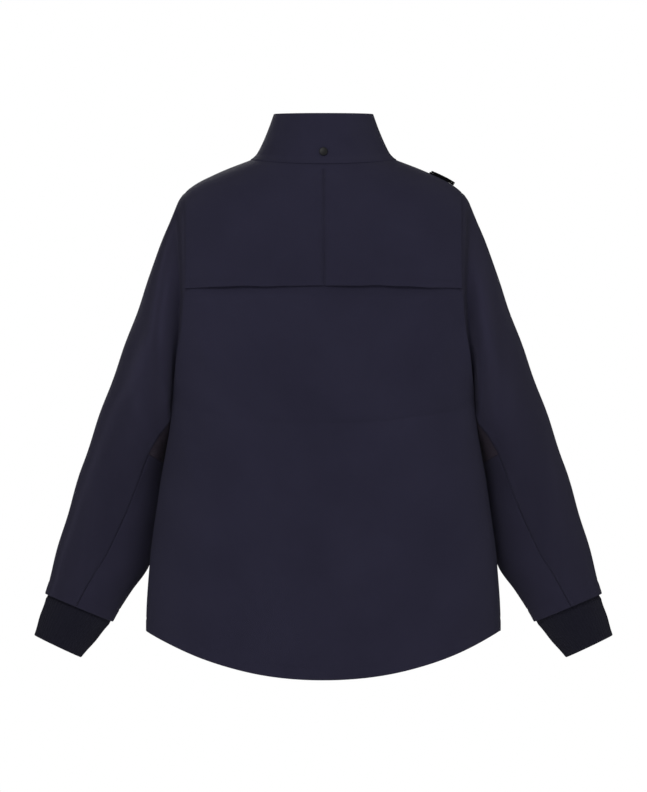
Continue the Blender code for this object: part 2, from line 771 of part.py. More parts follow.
# ---- zip ----
ZIP_UP = Vector((0, FRONT_LEAN, 1)).normalized()
ZIP_OUT = Vector((0, -1, FRONT_LEAN)).normalized()
CHAIN_DEPTH = FABRIC + LAYER_GAP + TOOTH_HEIGHT / 2  # below the cloth's face
CHAIN_LOW_Z = -BACK_LENGTH + HEM_FRONT_RISE + BOX_LENGTH + SLIDER_LENGTH + 2 * CHAIN_STOP
CHAIN_HIGH_Z = COLLAR_HEIGHT - COLLAR_FRONT_DIP - SLIDER_LENGTH - 4 * CHAIN_STOP


def zip_at(z, out=0.0, x=0.0):
    """Point on the zip's own plane: out is measured from the face of the cloth."""
    return Vector((x, float(front_line(z)), z)) + ZIP_OUT * out


def zip_block(name, x_range, z_range, thickness, out, finish, pivot, bevel=0.0):
    frame = frame_of(Vector((1, 0, 0)), ZIP_UP)
    low, high = zip_at(z_range[0], out), zip_at(z_range[1], out)
    centre = (low + high) / 2
    centre.x = sum(x_range) / 2
    size = (abs(x_range[1] - x_range[0]), thickness, (high - low).length)
    return place(block(name, size, centre, frame, bevel), finish, pivot)


def zip_side(name, side, pivot):
    """Tape and chain of one side. The left ones run on past the slider's two stops."""
    low, high = CHAIN_LOW_Z, CHAIN_HIGH_Z
    if side == LEFT:
        low -= SLIDER_LENGTH + CHAIN_STOP
        high += SLIDER_LENGTH + 2 * CHAIN_STOP
    inner = side * CHAIN_GAP / 2
    tooth_edge = inner + side * TOOTH_WIDTH
    zip_block(f"zip_teeth_{name}", (inner, tooth_edge), (low, high), TOOTH_HEIGHT,
              -CHAIN_DEPTH, "tooth", pivot)
    zip_block(f"zip_tape_{name}", (tooth_edge + side * HARDWARE_GAP, side * TAPE_EDGE_X), (low, high),
              TAPE_THICKNESS, -CHAIN_DEPTH, "tape", pivot)


def zip_slider(pivot):
    """Front and back plates joined by the web that runs between the two chains."""
    inner = TOOTH_HEIGHT / 2 + SLIDER_CLEARANCE
    outer = inner + SLIDER_PLATE
    web, wide = SLIDER_WEB / 2, SLIDER_HALF_WIDTH
    right = [(wide, -outer), (wide, -inner), (web, -inner), (web, inner), (wide, inner)]
    right.append((wide, outer))
    points = right + [(-x, y) for x, y in reversed(right)]
    obj = outline_solid("zip_slider", points, SLIDER_LENGTH)
    obj.matrix_world = (
        Matrix.Translation(zip_at(slider_z(), -CHAIN_DEPTH))
        @ frame_of(Vector((1, 0, 0)), ZIP_UP).to_4x4()
    )
    place(obj, "metal", pivot)


def slider_z():
    return CHAIN_HIGH_Z + SLIDER_LENGTH / 2 + CHAIN_STOP


def pull_pin():
    """Where the main pull turns: over the left half of the slider's front plate."""
    out = TOOTH_HEIGHT / 2 + SLIDER_CLEARANCE + SLIDER_PLATE + HARDWARE_GAP + PULL_THICKNESS / 2
    return zip_at(slider_z(), out - CHAIN_DEPTH, PULL_WIDTH / 2 + PULL_OFFSET)


def zip_pull(pivot):
    top = pull_pin()
    centre = top - ZIP_UP * (PULL_LENGTH - PULL_THICKNESS) / 2
    size = (PULL_WIDTH, PULL_THICKNESS, PULL_LENGTH)
    obj = block("zip_pull", size, centre, frame_of(Vector((1, 0, 0)), ZIP_UP), SOFT_EDGE)
    place(obj, "metal", pivot)


# ---- hand pockets ----
def pocket_line(side):
    """Top and foot of the pocket's zip on the body, and the way out of the cloth there."""
    points = []
    for z in (POCKET_TOP_Z, POCKET_TOP_Z - POCKET_LENGTH):
        point = Vector(turned(math.pi - POCKET_TURN, z))
        points.append(Vector((side * point.x, point.y, point.z)))
    beside = Vector(turned(math.pi - POCKET_TURN - 0.05, POCKET_TOP_Z - POCKET_LENGTH / 2))
    centre = Vector(turned(math.pi - POCKET_TURN, POCKET_TOP_Z - POCKET_LENGTH / 2))
    across = beside - centre
    across.x *= side
    up = (points[0] - points[1]).normalized()
    out = across.cross(up).normalized()
    if out.y > 0:
        out = -out
    return points[0], points[1], up, out


def pocket_frame(up, out):
    return frame_of(up.cross(out) * -1, up)


def pocket_piece(name, side, size, down, out_by, pivot, finish, bevel=0.0):
    """A block on the pocket's line: down from its top, and out from the cloth."""
    top, _, up, out = pocket_line(side)
    centre = top - up * down + out * out_by
    return place(block(name, size, centre, pocket_frame(up, out), bevel), finish, pivot)


POCKET_BAR_OUT = POCKET_BAR_STAND_OFF + POCKET_BAR_THICKNESS / 2
POCKET_SLIDER_OUT = (
    POCKET_BAR_OUT + (POCKET_BAR_THICKNESS + POCKET_SLIDER_SIZE[1]) / 2 + HARDWARE_GAP
)
POCKET_PULL_OUT = (
    POCKET_SLIDER_OUT + (POCKET_SLIDER_SIZE[1] + POCKET_PULL_SIZE[1]) / 2 + HARDWARE_GAP
)


def pocket_pin(side):
    top, _, up, out = pocket_line(side)
    return top - up * POCKET_SLIDER_DOWN + out * POCKET_PULL_OUT


def pocket(name, side, slider_pivot, pull_pivot):
    pocket_piece(f"pocket_zip_{name}", side, (POCKET_BAR_WIDTH, POCKET_BAR_THICKNESS,
                 POCKET_LENGTH), POCKET_LENGTH / 2, POCKET_BAR_OUT, None, "tape")
    pocket_piece(f"pocket_slider_{name}", side, POCKET_SLIDER_SIZE, POCKET_SLIDER_DOWN,
                 POCKET_SLIDER_OUT, slider_pivot, "metal", SOFT_EDGE)
    hang = (POCKET_PULL_SIZE[2] - POCKET_PULL_SIZE[1]) / 2
    pocket_piece(f"pocket_pull_{name}", side, POCKET_PULL_SIZE, POCKET_SLIDER_DOWN + hang,
                 POCKET_PULL_OUT, pull_pivot, "tab", SOFT_EDGE)
    low_z = POCKET_TOP_Z - POCKET_LENGTH
    u, v = lattice(spread(5, -0.5, 0.5), spread(6, low_z - 0.02, POCKET_TOP_Z + 0.01))
    grid = turned(math.pi - POCKET_TURN - u * POCKET_BAG_WIDTH, v)
    grid[..., 0] *= side
    depth = FABRIC + LAYER_GAP + LINING + POCKET_BAG_SPACE
    panel(f"pocket_bag_{name}", grid, body_core(grid), "lining", LINING, depth)


# ---- sleeves ----
def sleeve_grid(side, t_range, rows, turn_of, columns):
    """turn_of(t) gives the first and the last turn of the piece at each place down the arm."""
    t = spread(rows, *t_range)
    first, last = turn_of(t)
    turn = first[None, :] + (last - first)[None, :] * spread(columns)[:, None]
    t = np.broadcast_to(t[None, :], turn.shape)
    grid, core = sleeve_point(t, turn), sleeve_core(t)
    grid[..., 0] *= side
    core[..., 0] *= side
    return grid, core


def over_arm(t):
    return -FRONT_SEAM(t), REAR_SEAM(t)


def under_arm(t):
    return REAR_SEAM(t), 2 * math.pi - FRONT_SEAM(t)


def sleeve(name, side, pivot):
    pieces = (
        ("sleeve_upper", (0.0, ELBOW), 10, over_arm, 14, "sleeve", None),
        ("underarm_mesh", (0.0, GUSSET_SHARE), 9, under_arm, 4, "mesh", None),
        ("sleeve_upper_under", (GUSSET_SHARE, ELBOW), 1, under_arm, 5, "sleeve", None),
        ("sleeve_lower", (ELBOW, 1.0), 6, over_arm, 12, "sleeve", pivot),
        ("sleeve_lower_under", (ELBOW, 1.0), 6, under_arm, 7, "sleeve", pivot),
    )
    for piece, t_range, rows, turn_of, columns, finish, parent in pieces:
        grid, core = sleeve_grid(side, t_range, rows, turn_of, columns)
        gap = GUSSET_SEAM_GAP if finish == "mesh" else SLEEVE_SEAM_GAP
        panel(f"{piece}_{name}", grid, core, finish, pivot=parent, gap=gap)


def cuff(name, side, pivot):
    turn = spread(24, 0, 2 * math.pi)[:-1]
    turn, share = lattice(turn, spread(3))
    top_mid, end_mid = (CUFF_TOP_IN + CUFF_TOP_OUT) / 2, (CUFF_END_IN + CUFF_END_OUT) / 2
    top_arm, end_arm = (CUFF_TOP_OUT - CUFF_TOP_IN) / 2, (CUFF_END_OUT - CUFF_END_IN) / 2
    down = (end_mid - top_mid).normalized() * CUFF_JOIN_GAP
    low = np.array(top_mid + down)
    middle_line = mix(low, np.array(end_mid), share[..., None])
    arm = mix(np.array(top_arm), np.array(end_arm), share[..., None])
    grid = middle_line + arm * np.cos(turn)[..., None]
    grid[..., 1] += mix(CUFF_DEPTH[0], CUFF_DEPTH[1], share) * np.sin(turn)
    grid[..., 0] *= side
    core = middle_line.copy()
    core[..., 0] *= side
    panel(f"cuff_{name}", grid, core, "knit", CUFF_THICKNESS, wrap=True, pivot=pivot)


def elbow_hinge(side):
    """A point of the elbow's hinge, at the front of the arm, and the way it runs."""
    centre = sleeve_core(np.array(ELBOW))
    front = float(SLEEVE_Y(ELBOW) - SLEEVE_DEPTH(ELBOW)) - ELBOW_STAND_OFF
    point = Vector((side * centre[0], front, centre[2]))
    across = (float(OUTER_X(ELBOW) - INNER_X(ELBOW)), float(OUTER_Z(ELBOW) - INNER_Z(ELBOW)))
    return point, Vector((side * across[0], 0, across[1])).normalized()


def build():
    for obj in list(bpy.data.objects):
        bpy.data.objects.remove(obj)
    bpy.context.scene.collection.children.link(MODEL)
    bpy.context.scene.collection.children.link(CUTTERS)
    back_panel()
    back_lining()
    vent_mesh()
    flap_y = float(back_line(-VENT_DROP + VENT_FLAP_HEIGHT)) + FLAP_STAND_OFF
    flap = pivot_at("vent_flap_pivot", (0, flap_y, -VENT_DROP + VENT_FLAP_HEIGHT))
    collar_back()
    collar_lining()
    snap()
    hanger_loop()
    shoulder_tab()
    slider = pivot_at("zip_slider_pivot", zip_at(slider_z(), -CHAIN_DEPTH))
    pull = pivot_at("zip_pull_pivot", pull_pin())
    for name, side in SIDES:
        yoke(f"yoke_{name}", side)
        vent_flap(f"vent_flap_{name}", side, flap)
        grid = side_front_grid(side)
        panel(f"side_front_{name}", grid, body_core(grid), "shell")
        side_lining(f"side_lining_{name}", side)
        front = pivot_at(f"front_{name}_pivot", fold_axis(side)[0])
        grid = centre_front_grid(side, ZIP_EDGE_X)
        panel(f"centre_front_{name}", grid, body_core(grid), "shell", pivot=front)
        grid = centre_front_grid(side, FACING_INNER_X, foot=FACING_RISE)
        panel(f"front_facing_{name}", grid, body_core(grid), "lining", LINING,
              CHAIN_DEPTH + TOOTH_HEIGHT + SLIDER_PLATE + FACING_SPACE, pivot=front,
              gap=FACING_SEAM_GAP)
        collar_front(f"collar_front_{name}", side, front)
        zip_side(name, side, front)
        pocket_slider = pivot_at(f"pocket_slider_{name}_pivot", pocket_pin(side))
        pocket_pull = pivot_at(f"pocket_pull_{name}_pivot", pocket_pin(side))
        pocket(name, side, pocket_slider, pocket_pull)
        elbow = pivot_at(f"elbow_{name}_pivot", elbow_hinge(side)[0])
        sleeve(name, side, elbow)
        cuff(name, side, elbow)
        if side == LEFT:
            box_low = -BACK_LENGTH + HEM_FRONT_RISE + BOX_RISE
            zip_block("zip_box", (-BOX_HALF_WIDTH, BOX_HALF_WIDTH), (box_low, box_low + BOX_LENGTH),
                      BOX_THICKNESS, -CHAIN_DEPTH, "tooth", front, SOFT_EDGE)
    zip_slider(slider)
    zip_pull(pull)


build()
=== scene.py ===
# %% [markdown]
# # A foul weather jacket
# A foul weather jacket is sewn from flat pieces of softshell, mesh and rib knit, and closed with a long zip.
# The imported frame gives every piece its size, place and motion. This lesson gives each piece its cloth:
# thickness, folded edges, seams, stitches and folds. Soft pieces are lofted by formula, because a worn
# garment is a smooth surface cut into panels, and hard pieces start as primitives shaped in edit mode.

import json
import math

import bpy
import numpy as np
from mathutils import Matrix, Vector


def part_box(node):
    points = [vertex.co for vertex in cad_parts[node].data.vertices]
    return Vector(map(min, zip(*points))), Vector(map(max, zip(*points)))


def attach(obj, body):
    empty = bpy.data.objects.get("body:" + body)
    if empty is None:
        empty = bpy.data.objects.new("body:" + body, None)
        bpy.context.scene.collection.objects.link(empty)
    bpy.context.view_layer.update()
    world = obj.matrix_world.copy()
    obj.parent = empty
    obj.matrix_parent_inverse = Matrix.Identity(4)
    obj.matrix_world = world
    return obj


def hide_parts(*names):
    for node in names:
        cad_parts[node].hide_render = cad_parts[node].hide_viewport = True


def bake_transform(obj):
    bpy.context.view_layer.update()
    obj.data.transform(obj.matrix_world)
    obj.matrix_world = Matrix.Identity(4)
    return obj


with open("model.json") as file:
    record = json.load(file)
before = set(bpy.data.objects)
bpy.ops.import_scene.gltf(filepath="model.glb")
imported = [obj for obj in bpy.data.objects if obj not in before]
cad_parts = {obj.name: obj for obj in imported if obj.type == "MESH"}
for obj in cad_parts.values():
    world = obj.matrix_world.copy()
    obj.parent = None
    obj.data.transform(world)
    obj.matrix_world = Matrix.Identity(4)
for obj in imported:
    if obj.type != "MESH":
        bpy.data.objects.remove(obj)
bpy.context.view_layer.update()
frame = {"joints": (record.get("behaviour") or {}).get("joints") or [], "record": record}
joints = {joint["name"]: joint for joint in frame["joints"]}
SIDES = (("left", 1), ("right", -1))

# %% [markdown]
# ## Camera
# The jacket is seen square from behind. A long lens far away keeps the outline almost parallel, as in a
# catalogue. The lens follows from the height that should fill the picture and from the distance, so both
# can change without changing how large the jacket looks. The plain view transform keeps white white.

# %% Camera
VIEW_HEIGHT = 1.1246
VIEW_CENTRE_Z = -0.3330
CAMERA_REACH = 18.0
OUTLINE_Y = -0.050


def look(obj, target):
    obj.rotation_mode = "QUATERNION"
    obj.rotation_quaternion = (Vector(target) - obj.location).to_track_quat("-Z", "Y")


lens_data = bpy.data.cameras.new("back_view")
camera = bpy.data.objects.new("back_view", lens_data)
bpy.context.scene.collection.objects.link(camera)
camera.location = (0.0, OUTLINE_Y + CAMERA_REACH, VIEW_CENTRE_Z)
look(camera, (0.0, 0.0, VIEW_CENTRE_Z))
lens_data.lens = lens_data.sensor_width * CAMERA_REACH / VIEW_HEIGHT
lens_data.clip_end = 60.0
bpy.context.scene.camera = camera
bpy.context.scene.view_settings.view_transform = "Standard"
print("lens", round(lens_data.lens, 1), "mm")

# %% [markdown]
# ## Floor and light
# A white dome lights every side evenly, and three soft lamps add a little shape: two on the camera's side
# for the back, and one for the front. The floor lies well below the hem, because the jacket hangs in the air.
# A small helper leaves one object selected, since most operators work on whatever is selected.

# %% Floor and light


def only(obj):
    """Leaves just this object selected and active."""
    bpy.ops.object.select_all(action="DESELECT")
    obj.select_set(True)
    bpy.context.view_layer.objects.active = obj
    return obj


def lamp(name, place, size, power, target=(0, 0, -0.35)):
    data = bpy.data.lights.new(name, "AREA")
    data.shape, data.size, data.energy = "DISK", size, power
    obj = bpy.data.objects.new(name, data)
    bpy.context.scene.collection.objects.link(obj)
    obj.location = place
    look(obj, target)


bpy.ops.object.select_all(action="DESELECT")
bpy.ops.mesh.primitive_plane_add(size=7.0, location=(0, 0, -1.30))
floor = bpy.context.object
floor.name = "floor"
floor_finish = bpy.data.materials.new("pale_floor")
floor_finish.use_nodes = True
floor_finish.node_tree.nodes["Principled BSDF"].inputs["Base Color"].default_value = (0.86, 0.86, 0.87, 1)
floor_finish.node_tree.nodes["Principled BSDF"].inputs["Roughness"].default_value = 0.9
floor.data.materials.append(floor_finish)
world = bpy.context.scene.world or bpy.data.worlds.new("studio")
bpy.context.scene.world = world
world.use_nodes = True
world.node_tree.nodes["Background"].inputs["Color"].default_value = (1, 1, 1, 1)
world.node_tree.nodes["Background"].inputs["Strength"].default_value = 1.0
lamp("key", (0.7, 3.0, 1.5), 1.2, 95)
lamp("fill", (-1.5, 2.8, 0.2), 1.6, 32)
lamp("front_key", (0.8, -3.0, 1.2), 1.4, 110)
print("floor at", floor.location.z)

# %% [markdown]
# ## Shader maths as Python
# A finish is a formula over the surface. Wrapping a socket in a small class lets that formula be written
# with ordinary operators, and every operator adds its Math node. Colours go through Mix, since Math
# would turn them grey. Any other node comes from one method that sets its settings before its inputs.

# %% A socket with operators


class Value:
    def __init__(self, tree, socket):
        self.tree, self.socket = tree, socket

    def node(self, kind, settings=None, output=0, **inputs):
        made = self.tree.nodes.new(kind)
        for name, setting in (settings or {}).items():
            setattr(made, name, setting)
        for name, value in inputs.items():
            key = int(name[1:]) if name[0] == "i" and name[1:].isdigit() else name.replace("_", " ")
            socket = made.inputs[key]
            if isinstance(value, Value):
                self.tree.links.new(value.socket, socket)
            else:
                socket.default_value = value
        return Value(self.tree, made.outputs[output])

    def maths(self, operation, first, second=0.0):
        return self.node("ShaderNodeMath", {"operation": operation}, i0=first, i1=second)

    def __add__(self, other):
        return self.maths("ADD", self, other)

    def __radd__(self, other):
        return self.maths("ADD", other, self)

    def __sub__(self, other):
        return self.maths("SUBTRACT", self, other)

    def __rsub__(self, other):
        return self.maths("SUBTRACT", other, self)

    def __mul__(self, other):
        return self.maths("MULTIPLY", self, other)

    def sine(self):
        return self.maths("SINE", self)

    def size(self):
        return self.maths("ABSOLUTE", self)

    def limited(self, low, high):
        return self.node("ShaderNodeMapRange", {"clamp": True}, i0=self, i1=low, i2=high, i3=0.0, i4=1.0)


def mixed(mask, dark, light):
    """Colour between dark and light, where mask runs from 0 to 1."""
    return mask.node("ShaderNodeMix", {"data_type": "RGBA"}, output=2, i0=mask, i6=(*dark, 1), i7=(*light, 1))


def new_finish(name, roughness, sheen=0.0, specular=0.5, metallic=0.0, coat=0.0, ior=1.12):
    """A Principled finish, with the numbers that don't vary set on its own sockets."""
    made = bpy.data.materials.new(name)
    made.use_nodes = True
    shader = made.node_tree.nodes["Principled BSDF"]
    shader.inputs["Roughness"].default_value = roughness
    shader.inputs["Sheen Weight"].default_value = sheen
    shader.inputs["Sheen Roughness"].default_value = 0.5
    shader.inputs["Specular IOR Level"].default_value = specular
    shader.inputs["Metallic"].default_value = metallic
    shader.inputs["IOR"].default_value = ior
    shader.inputs["Coat Weight"].default_value = coat
    shader.inputs["Coat Roughness"].default_value = 0.25
    return made, shader


def wired(made, shader, colour, roughness=None, bump=None, bump_size=0.0003, alpha=None):
    """Joins what varies over the surface to the shader."""
    tree = made.node_tree
    tree.links.new(colour.socket, shader.inputs["Base Color"])
    if roughness is not None:
        tree.links.new(roughness.socket, shader.inputs["Roughness"])
    if alpha is not None:
        tree.links.new(alpha.socket, shader.inputs["Alpha"])
    if bump is not None:
        lit = bump.node("ShaderNodeBump", Strength=1.0, Distance=bump_size, Height=bump)
        tree.links.new(lit.socket, shader.inputs["Normal"])
    return made


def start(made, output=3):
    """First value of a formula: the piece's own coordinates in metres, or its UV map as output 2."""
    node = made.node_tree.nodes.new("ShaderNodeTexCoord")
    return Value(made.node_tree, node.outputs[output])


def cloth_map(made):
    """Metres across and along the cloth, as two values."""
    point = start(made, output=2)
    parts = point.node("ShaderNodeSeparateXYZ", i0=point)
    along = Value(made.node_tree, parts.socket.node.outputs[1])
    return point, parts, along


def noise(point, scale, detail=2.0):
    return point.node("ShaderNodeTexNoise", Vector=point, Scale=scale, Detail=detail, Roughness=0.5)


print("shader maths ready")

# %% [markdown]
# ## Softshell
# Softshell is a close plain weave with a matt face. Seen near, its threads make a grid of small bumps,
# and seen far it's one dark navy that varies a little where the cloth was pressed or rubbed. The weave
# follows the cloth's own map, in metres, so it runs straight along each panel and never swims.

# %% Woven finishes


def woven(name, dark, light, pitch, sheen=0.012, roughness=0.78, bump_size=0.00018):
    made, shader = new_finish(name, roughness, sheen=sheen, specular=0.06)
    point, across, along = cloth_map(made)
    turn = 2 * math.pi / pitch
    thread = (across * turn).sine() * (along * turn).sine()
    slub = noise(point, 900.0, 1.0)
    cloud = noise(point, 9.0, 3.0)
    mask = (thread * 0.16 + slub * 0.30 + cloud * 0.70).limited(0.25, 0.80)
    rough = roughness - 0.06 + noise(point, 30.0) * 0.12
    return wired(made, shader, mixed(mask, dark, light), rough, thread + slub * 0.8, bump_size)


SHELL = woven("shell_cloth", (0.0108, 0.0102, 0.0193), (0.0150, 0.0142, 0.0264), 0.00062)
SLEEVE = woven("sleeve_cloth", (0.0108, 0.0101, 0.0187), (0.0154, 0.0144, 0.0257), 0.00062)
LINING = woven("lining_cloth", (0.0110, 0.0108, 0.0180), (0.0160, 0.0156, 0.0250), 0.00050, 0.02, 0.55)
TAPE = woven("tape_weave", (0.0042, 0.0042, 0.0070), (0.0075, 0.0075, 0.0110), 0.0011, 0.02, 0.82, 0.0003)
WEBBING = woven("webbing_weave", (0.0010, 0.0010, 0.0013), (0.0028, 0.0028, 0.0032), 0.0014, 0.01, 0.70,
                0.0004)

# %% [markdown]
# ## Rib knit, mesh and thread
# A knit is loops stacked along each rib, so its pattern follows the ribs and a fuzz hides it from afar. Mesh
# is a net of small holes: the holes are a pattern in Alpha, which costs no geometry and still lets light
# through. Sewing thread gets only a twist, because one stitch is hardly two millimetres long.

# %% Rib knit, mesh, thread


def knitted():
    """Loops stacked along each rib. The ribs themselves are in the cuff's shape."""
    made, shader = new_finish("rib_knit", 0.92, sheen=0.02, specular=0.04)
    point, across, along = cloth_map(made)
    loop = ((across * 2800.0).sine().size() * 1.6 + along * 4200.0).sine()
    fuzz = noise(point, 1500.0, 2.0)
    mask = (loop * 0.2 + fuzz * 0.6 + 0.2).limited(0.1, 0.9)
    return wired(made, shader, mixed(mask, (0.0044, 0.0043, 0.0076), (0.0076, 0.0074, 0.0124)),
                 bump=loop * 0.7 + fuzz, bump_size=0.0004)


def netted():
    """Warp-knit mesh: rows of small round holes, each row half a step over."""
    made, shader = new_finish("mesh_net", 0.85, sheen=0.01, specular=0.08)
    point, across, along = cloth_map(made)
    step = 2 * math.pi / 0.0024
    hole = (across * step).sine() * (along * step * 0.8).sine()
    open_share = hole.limited(0.25, 0.55)
    fuzz = noise(point, 1200.0, 1.0)
    mask = (fuzz * 0.6 + 0.2 - open_share * 0.8).limited(-0.2, 0.8)
    return wired(made, shader, mixed(mask, (0.0046, 0.0036, 0.0050), (0.0260, 0.0212, 0.0300)),
                 bump=fuzz * 0.4 - open_share * 1.4, bump_size=0.0005, alpha=1 - open_share * 0.35)


def threaded():
    made, shader = new_finish("sewing_thread", 0.6, sheen=0.02, specular=0.12)
    point = start(made)
    twist = noise(point, 2500.0, 1.0)
    return wired(made, shader, mixed(twist, (0.0080, 0.0078, 0.0150), (0.0140, 0.0136, 0.0240)),
                 bump=twist, bump_size=0.0001)


KNIT, NET, THREAD = knitted(), netted(), threaded()

# %% [markdown]
# ## Moulded plastic and black lacquer
# Zip teeth are moulded plastic, and the snap, sliders and pulls are metal with black lacquer. Both have a
# fine grain and a gloss that varies where fingers touch. They stay dark and fairly matt, because bright
# reflections on such small parts would draw the eye away from the cloth.

# %% Hard finishes


def moulded(name, dark, light, roughness, metallic=0.0, coat=0.0, grain=900.0):
    """Plastic or lacquered metal: a fine grain, and gloss that varies with handling."""
    made, shader = new_finish(name, roughness, specular=0.07, metallic=metallic, coat=coat, ior=1.40)
    point = start(made)
    fine, broad = noise(point, grain, 2.0), noise(point, 120.0, 3.0)
    rough = roughness - 0.08 + broad * 0.2
    return wired(made, shader, mixed(broad.limited(0.3, 0.7), dark, light), rough, fine, 0.00004)


PLASTIC = moulded("zip_moulding", (0.0030, 0.0030, 0.0044), (0.0058, 0.0058, 0.0080), 0.50)
METAL = moulded("black_lacquer", (0.0014, 0.0014, 0.0017), (0.0032, 0.0032, 0.0037), 0.36, 0.0, 0.01)
print(len(bpy.data.materials), "finishes")

# %% [markdown]
# ## The body's surface
# A worn jacket is close to an oval tube: rounder than a box and squarer than an ellipse. Each height has
# an oval with its own half width and its own front and back lines. Shoulders are the same ovals, getting
# narrower towards the neck. The armhole cuts the tube off sideways, and the sleeve starts there.

# %% Curves and sizes
SEAM = 0.0004
BACK_LENGTH = -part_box("back_panel")[0].z + SEAM
HEM_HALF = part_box("back_panel")[1].x
COLLAR_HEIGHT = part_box("collar_back")[1].z + 0.0009
CHEST_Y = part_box("back_panel")[1].y
SHOULDER_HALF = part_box("yoke_left")[1].x + SEAM
COLLAR_TOP_HALF, COLLAR_FRONT_DIP = 0.0706, 0.018
NECK_HALF, NECK_FRONT_DROP = 0.102, 0.056
SHOULDER_DROP, ARMHOLE_DEPTH = 0.044, 0.301
CHEST_HALF = 0.216
HEM_SIDE_RISE, HEM_FRONT_RISE = 0.068, 0.030
VENT_DROP, VENT_FLAP_HEIGHT = 0.177, 0.042
BACK_NECK_Y, BACK_HEM_Y = 0.010, 0.032
FRONT_NECK_Y, FRONT_LEAN = -0.139, 0.0748
ROUNDNESS = 2.3
UNDERARM_Z = -(SHOULDER_DROP + ARMHOLE_DEPTH)
CLOTH = 0.0020
print("centre back", round(BACK_LENGTH, 3), "hem", round(2 * HEM_HALF, 3))
print("shoulders", round(2 * SHOULDER_HALF, 3))


def smooth(keys):
    """A curve through (place, value) keys that keeps each stretch rising or falling."""
    keys = sorted(keys)
    place = np.array([k[0] for k in keys], float)
    value = np.array([k[1] for k in keys], float)
    step = np.diff(place)
    rise = np.diff(value) / step
    slope = np.zeros(len(place))
    slope[0], slope[-1] = rise[0], rise[-1]
    for i in range(1, len(place) - 1):
        if rise[i - 1] * rise[i] > 0:
            slope[i] = 2 * rise[i - 1] * rise[i] / (rise[i - 1] + rise[i])

    def curve(at):
        at = np.clip(np.asarray(at, float), place[0], place[-1])
        i = np.clip(np.searchsorted(place, at, side="right") - 1, 0, len(step) - 1)
        h = step[i]
        q = (at - place[i]) / h
        first = (1 + 2 * q) * (1 - q) ** 2 * value[i] + q * (1 - q) ** 2 * h * slope[i]
        last = q * q * (3 - 2 * q) * value[i + 1] - q * q * (1 - q) * h * slope[i + 1]
        return first + last

    return curve


def mix(a, b, share):
    return a + (b - a) * share


def ease(share):
    share = np.clip(share, 0.0, 1.0)
    return share * share * (3 - 2 * share)


def bump(distance, width):
    return np.exp(-((distance / width) ** 2))


def rounded(value):
    return np.sign(value) * np.abs(value) ** (2 / ROUNDNESS)


# %% [markdown]
# ## The oval at each height
# Four curves over height hold the whole body: half width, armhole edge, back line and front line. A
# superellipse joins them into a section, and small functions give a point from an angle, or from a place
# seen from the front. Every panel below is cut from this one surface, so neighbours meet at their seams.

# %% The oval at each height
NECK_TO_TIP = SHOULDER_HALF - NECK_HALF
half_width = smooth(
    [
        (0.003, NECK_HALF),
        (-0.70 * SHOULDER_DROP, NECK_HALF + 0.82 * NECK_TO_TIP),
        (-SHOULDER_DROP, SHOULDER_HALF),
        (-SHOULDER_DROP - 0.030, SHOULDER_HALF + 0.024),
        (-SHOULDER_DROP - 0.32 * ARMHOLE_DEPTH, SHOULDER_HALF + 0.037),
        (-SHOULDER_DROP - 0.70 * ARMHOLE_DEPTH, mix(SHOULDER_HALF, CHEST_HALF, 0.4) + 0.027),
        (UNDERARM_Z, CHEST_HALF),
        (mix(UNDERARM_Z, -BACK_LENGTH, 0.30), mix(CHEST_HALF, HEM_HALF, 0.46)),
        (mix(UNDERARM_Z, -BACK_LENGTH, 0.58), mix(CHEST_HALF, HEM_HALF, 0.86)),
        (mix(UNDERARM_Z, -BACK_LENGTH, 0.80), HEM_HALF),
        (-BACK_LENGTH, HEM_HALF),
    ]
)
arm_edge = smooth(
    [
        (-SHOULDER_DROP, SHOULDER_HALF),
        (-SHOULDER_DROP - 0.35 * ARMHOLE_DEPTH, SHOULDER_HALF - 0.0005),
        (-SHOULDER_DROP - 0.60 * ARMHOLE_DEPTH, mix(SHOULDER_HALF, CHEST_HALF, 0.22)),
        (-SHOULDER_DROP - 0.79 * ARMHOLE_DEPTH, mix(SHOULDER_HALF, CHEST_HALF, 0.66)),
        (UNDERARM_Z, CHEST_HALF),
    ]
)
back_line = smooth(
    [
        (COLLAR_HEIGHT, 0.0),
        (0.0, BACK_NECK_Y),
        (-0.05, mix(BACK_NECK_Y, CHEST_Y, 0.53)),
        (-0.15, CHEST_Y),
        (-0.30, CHEST_Y),
        (-BACK_LENGTH, BACK_HEM_Y),
    ]
)


def front_line(z):
    return FRONT_NECK_Y + FRONT_LEAN * np.asarray(z, float)


def middle(z):
    return (back_line(z) + front_line(z)) / 2


def half_depth(z):
    return (back_line(z) - front_line(z)) / 2


def oval_share(ratio):
    return np.clip(1 - np.clip(np.abs(ratio), 0, 1) ** ROUNDNESS, 0, 1) ** (1 / ROUNDNESS)


def together(x, y, z):
    return np.stack(np.broadcast_arrays(x, y, z), -1)


def turned(angle, z):
    """Point on the body: angle 0 is the centre back, a half turn is the zip."""
    across, through = half_width(z) * rounded(np.sin(angle)), half_depth(z) * rounded(np.cos(angle))
    return together(across, middle(z) + through, z)


def faced(x, z, face):
    return together(x, middle(z) + face * half_depth(z) * oval_share(x / half_width(z)), z)


def body_reach(y, z):
    reach = half_width(z) * oval_share((y - middle(z)) / half_depth(z))
    return np.where(z > UNDERARM_Z, np.minimum(reach, arm_edge(z)), reach)


def edge_turn(z):
    open_arm = (z > UNDERARM_Z) & (z < -SHOULDER_DROP)
    ratio = np.where(open_arm, np.clip(arm_edge(z) / half_width(z), 0, 1), 1.0)
    return np.arcsin(ratio ** (ROUNDNESS / 2))


def hem_z(x, front=False):
    low = HEM_FRONT_RISE if front else 0.0
    return -BACK_LENGTH + low + (HEM_SIDE_RISE - low) * np.abs(x / HEM_HALF) ** 2.15


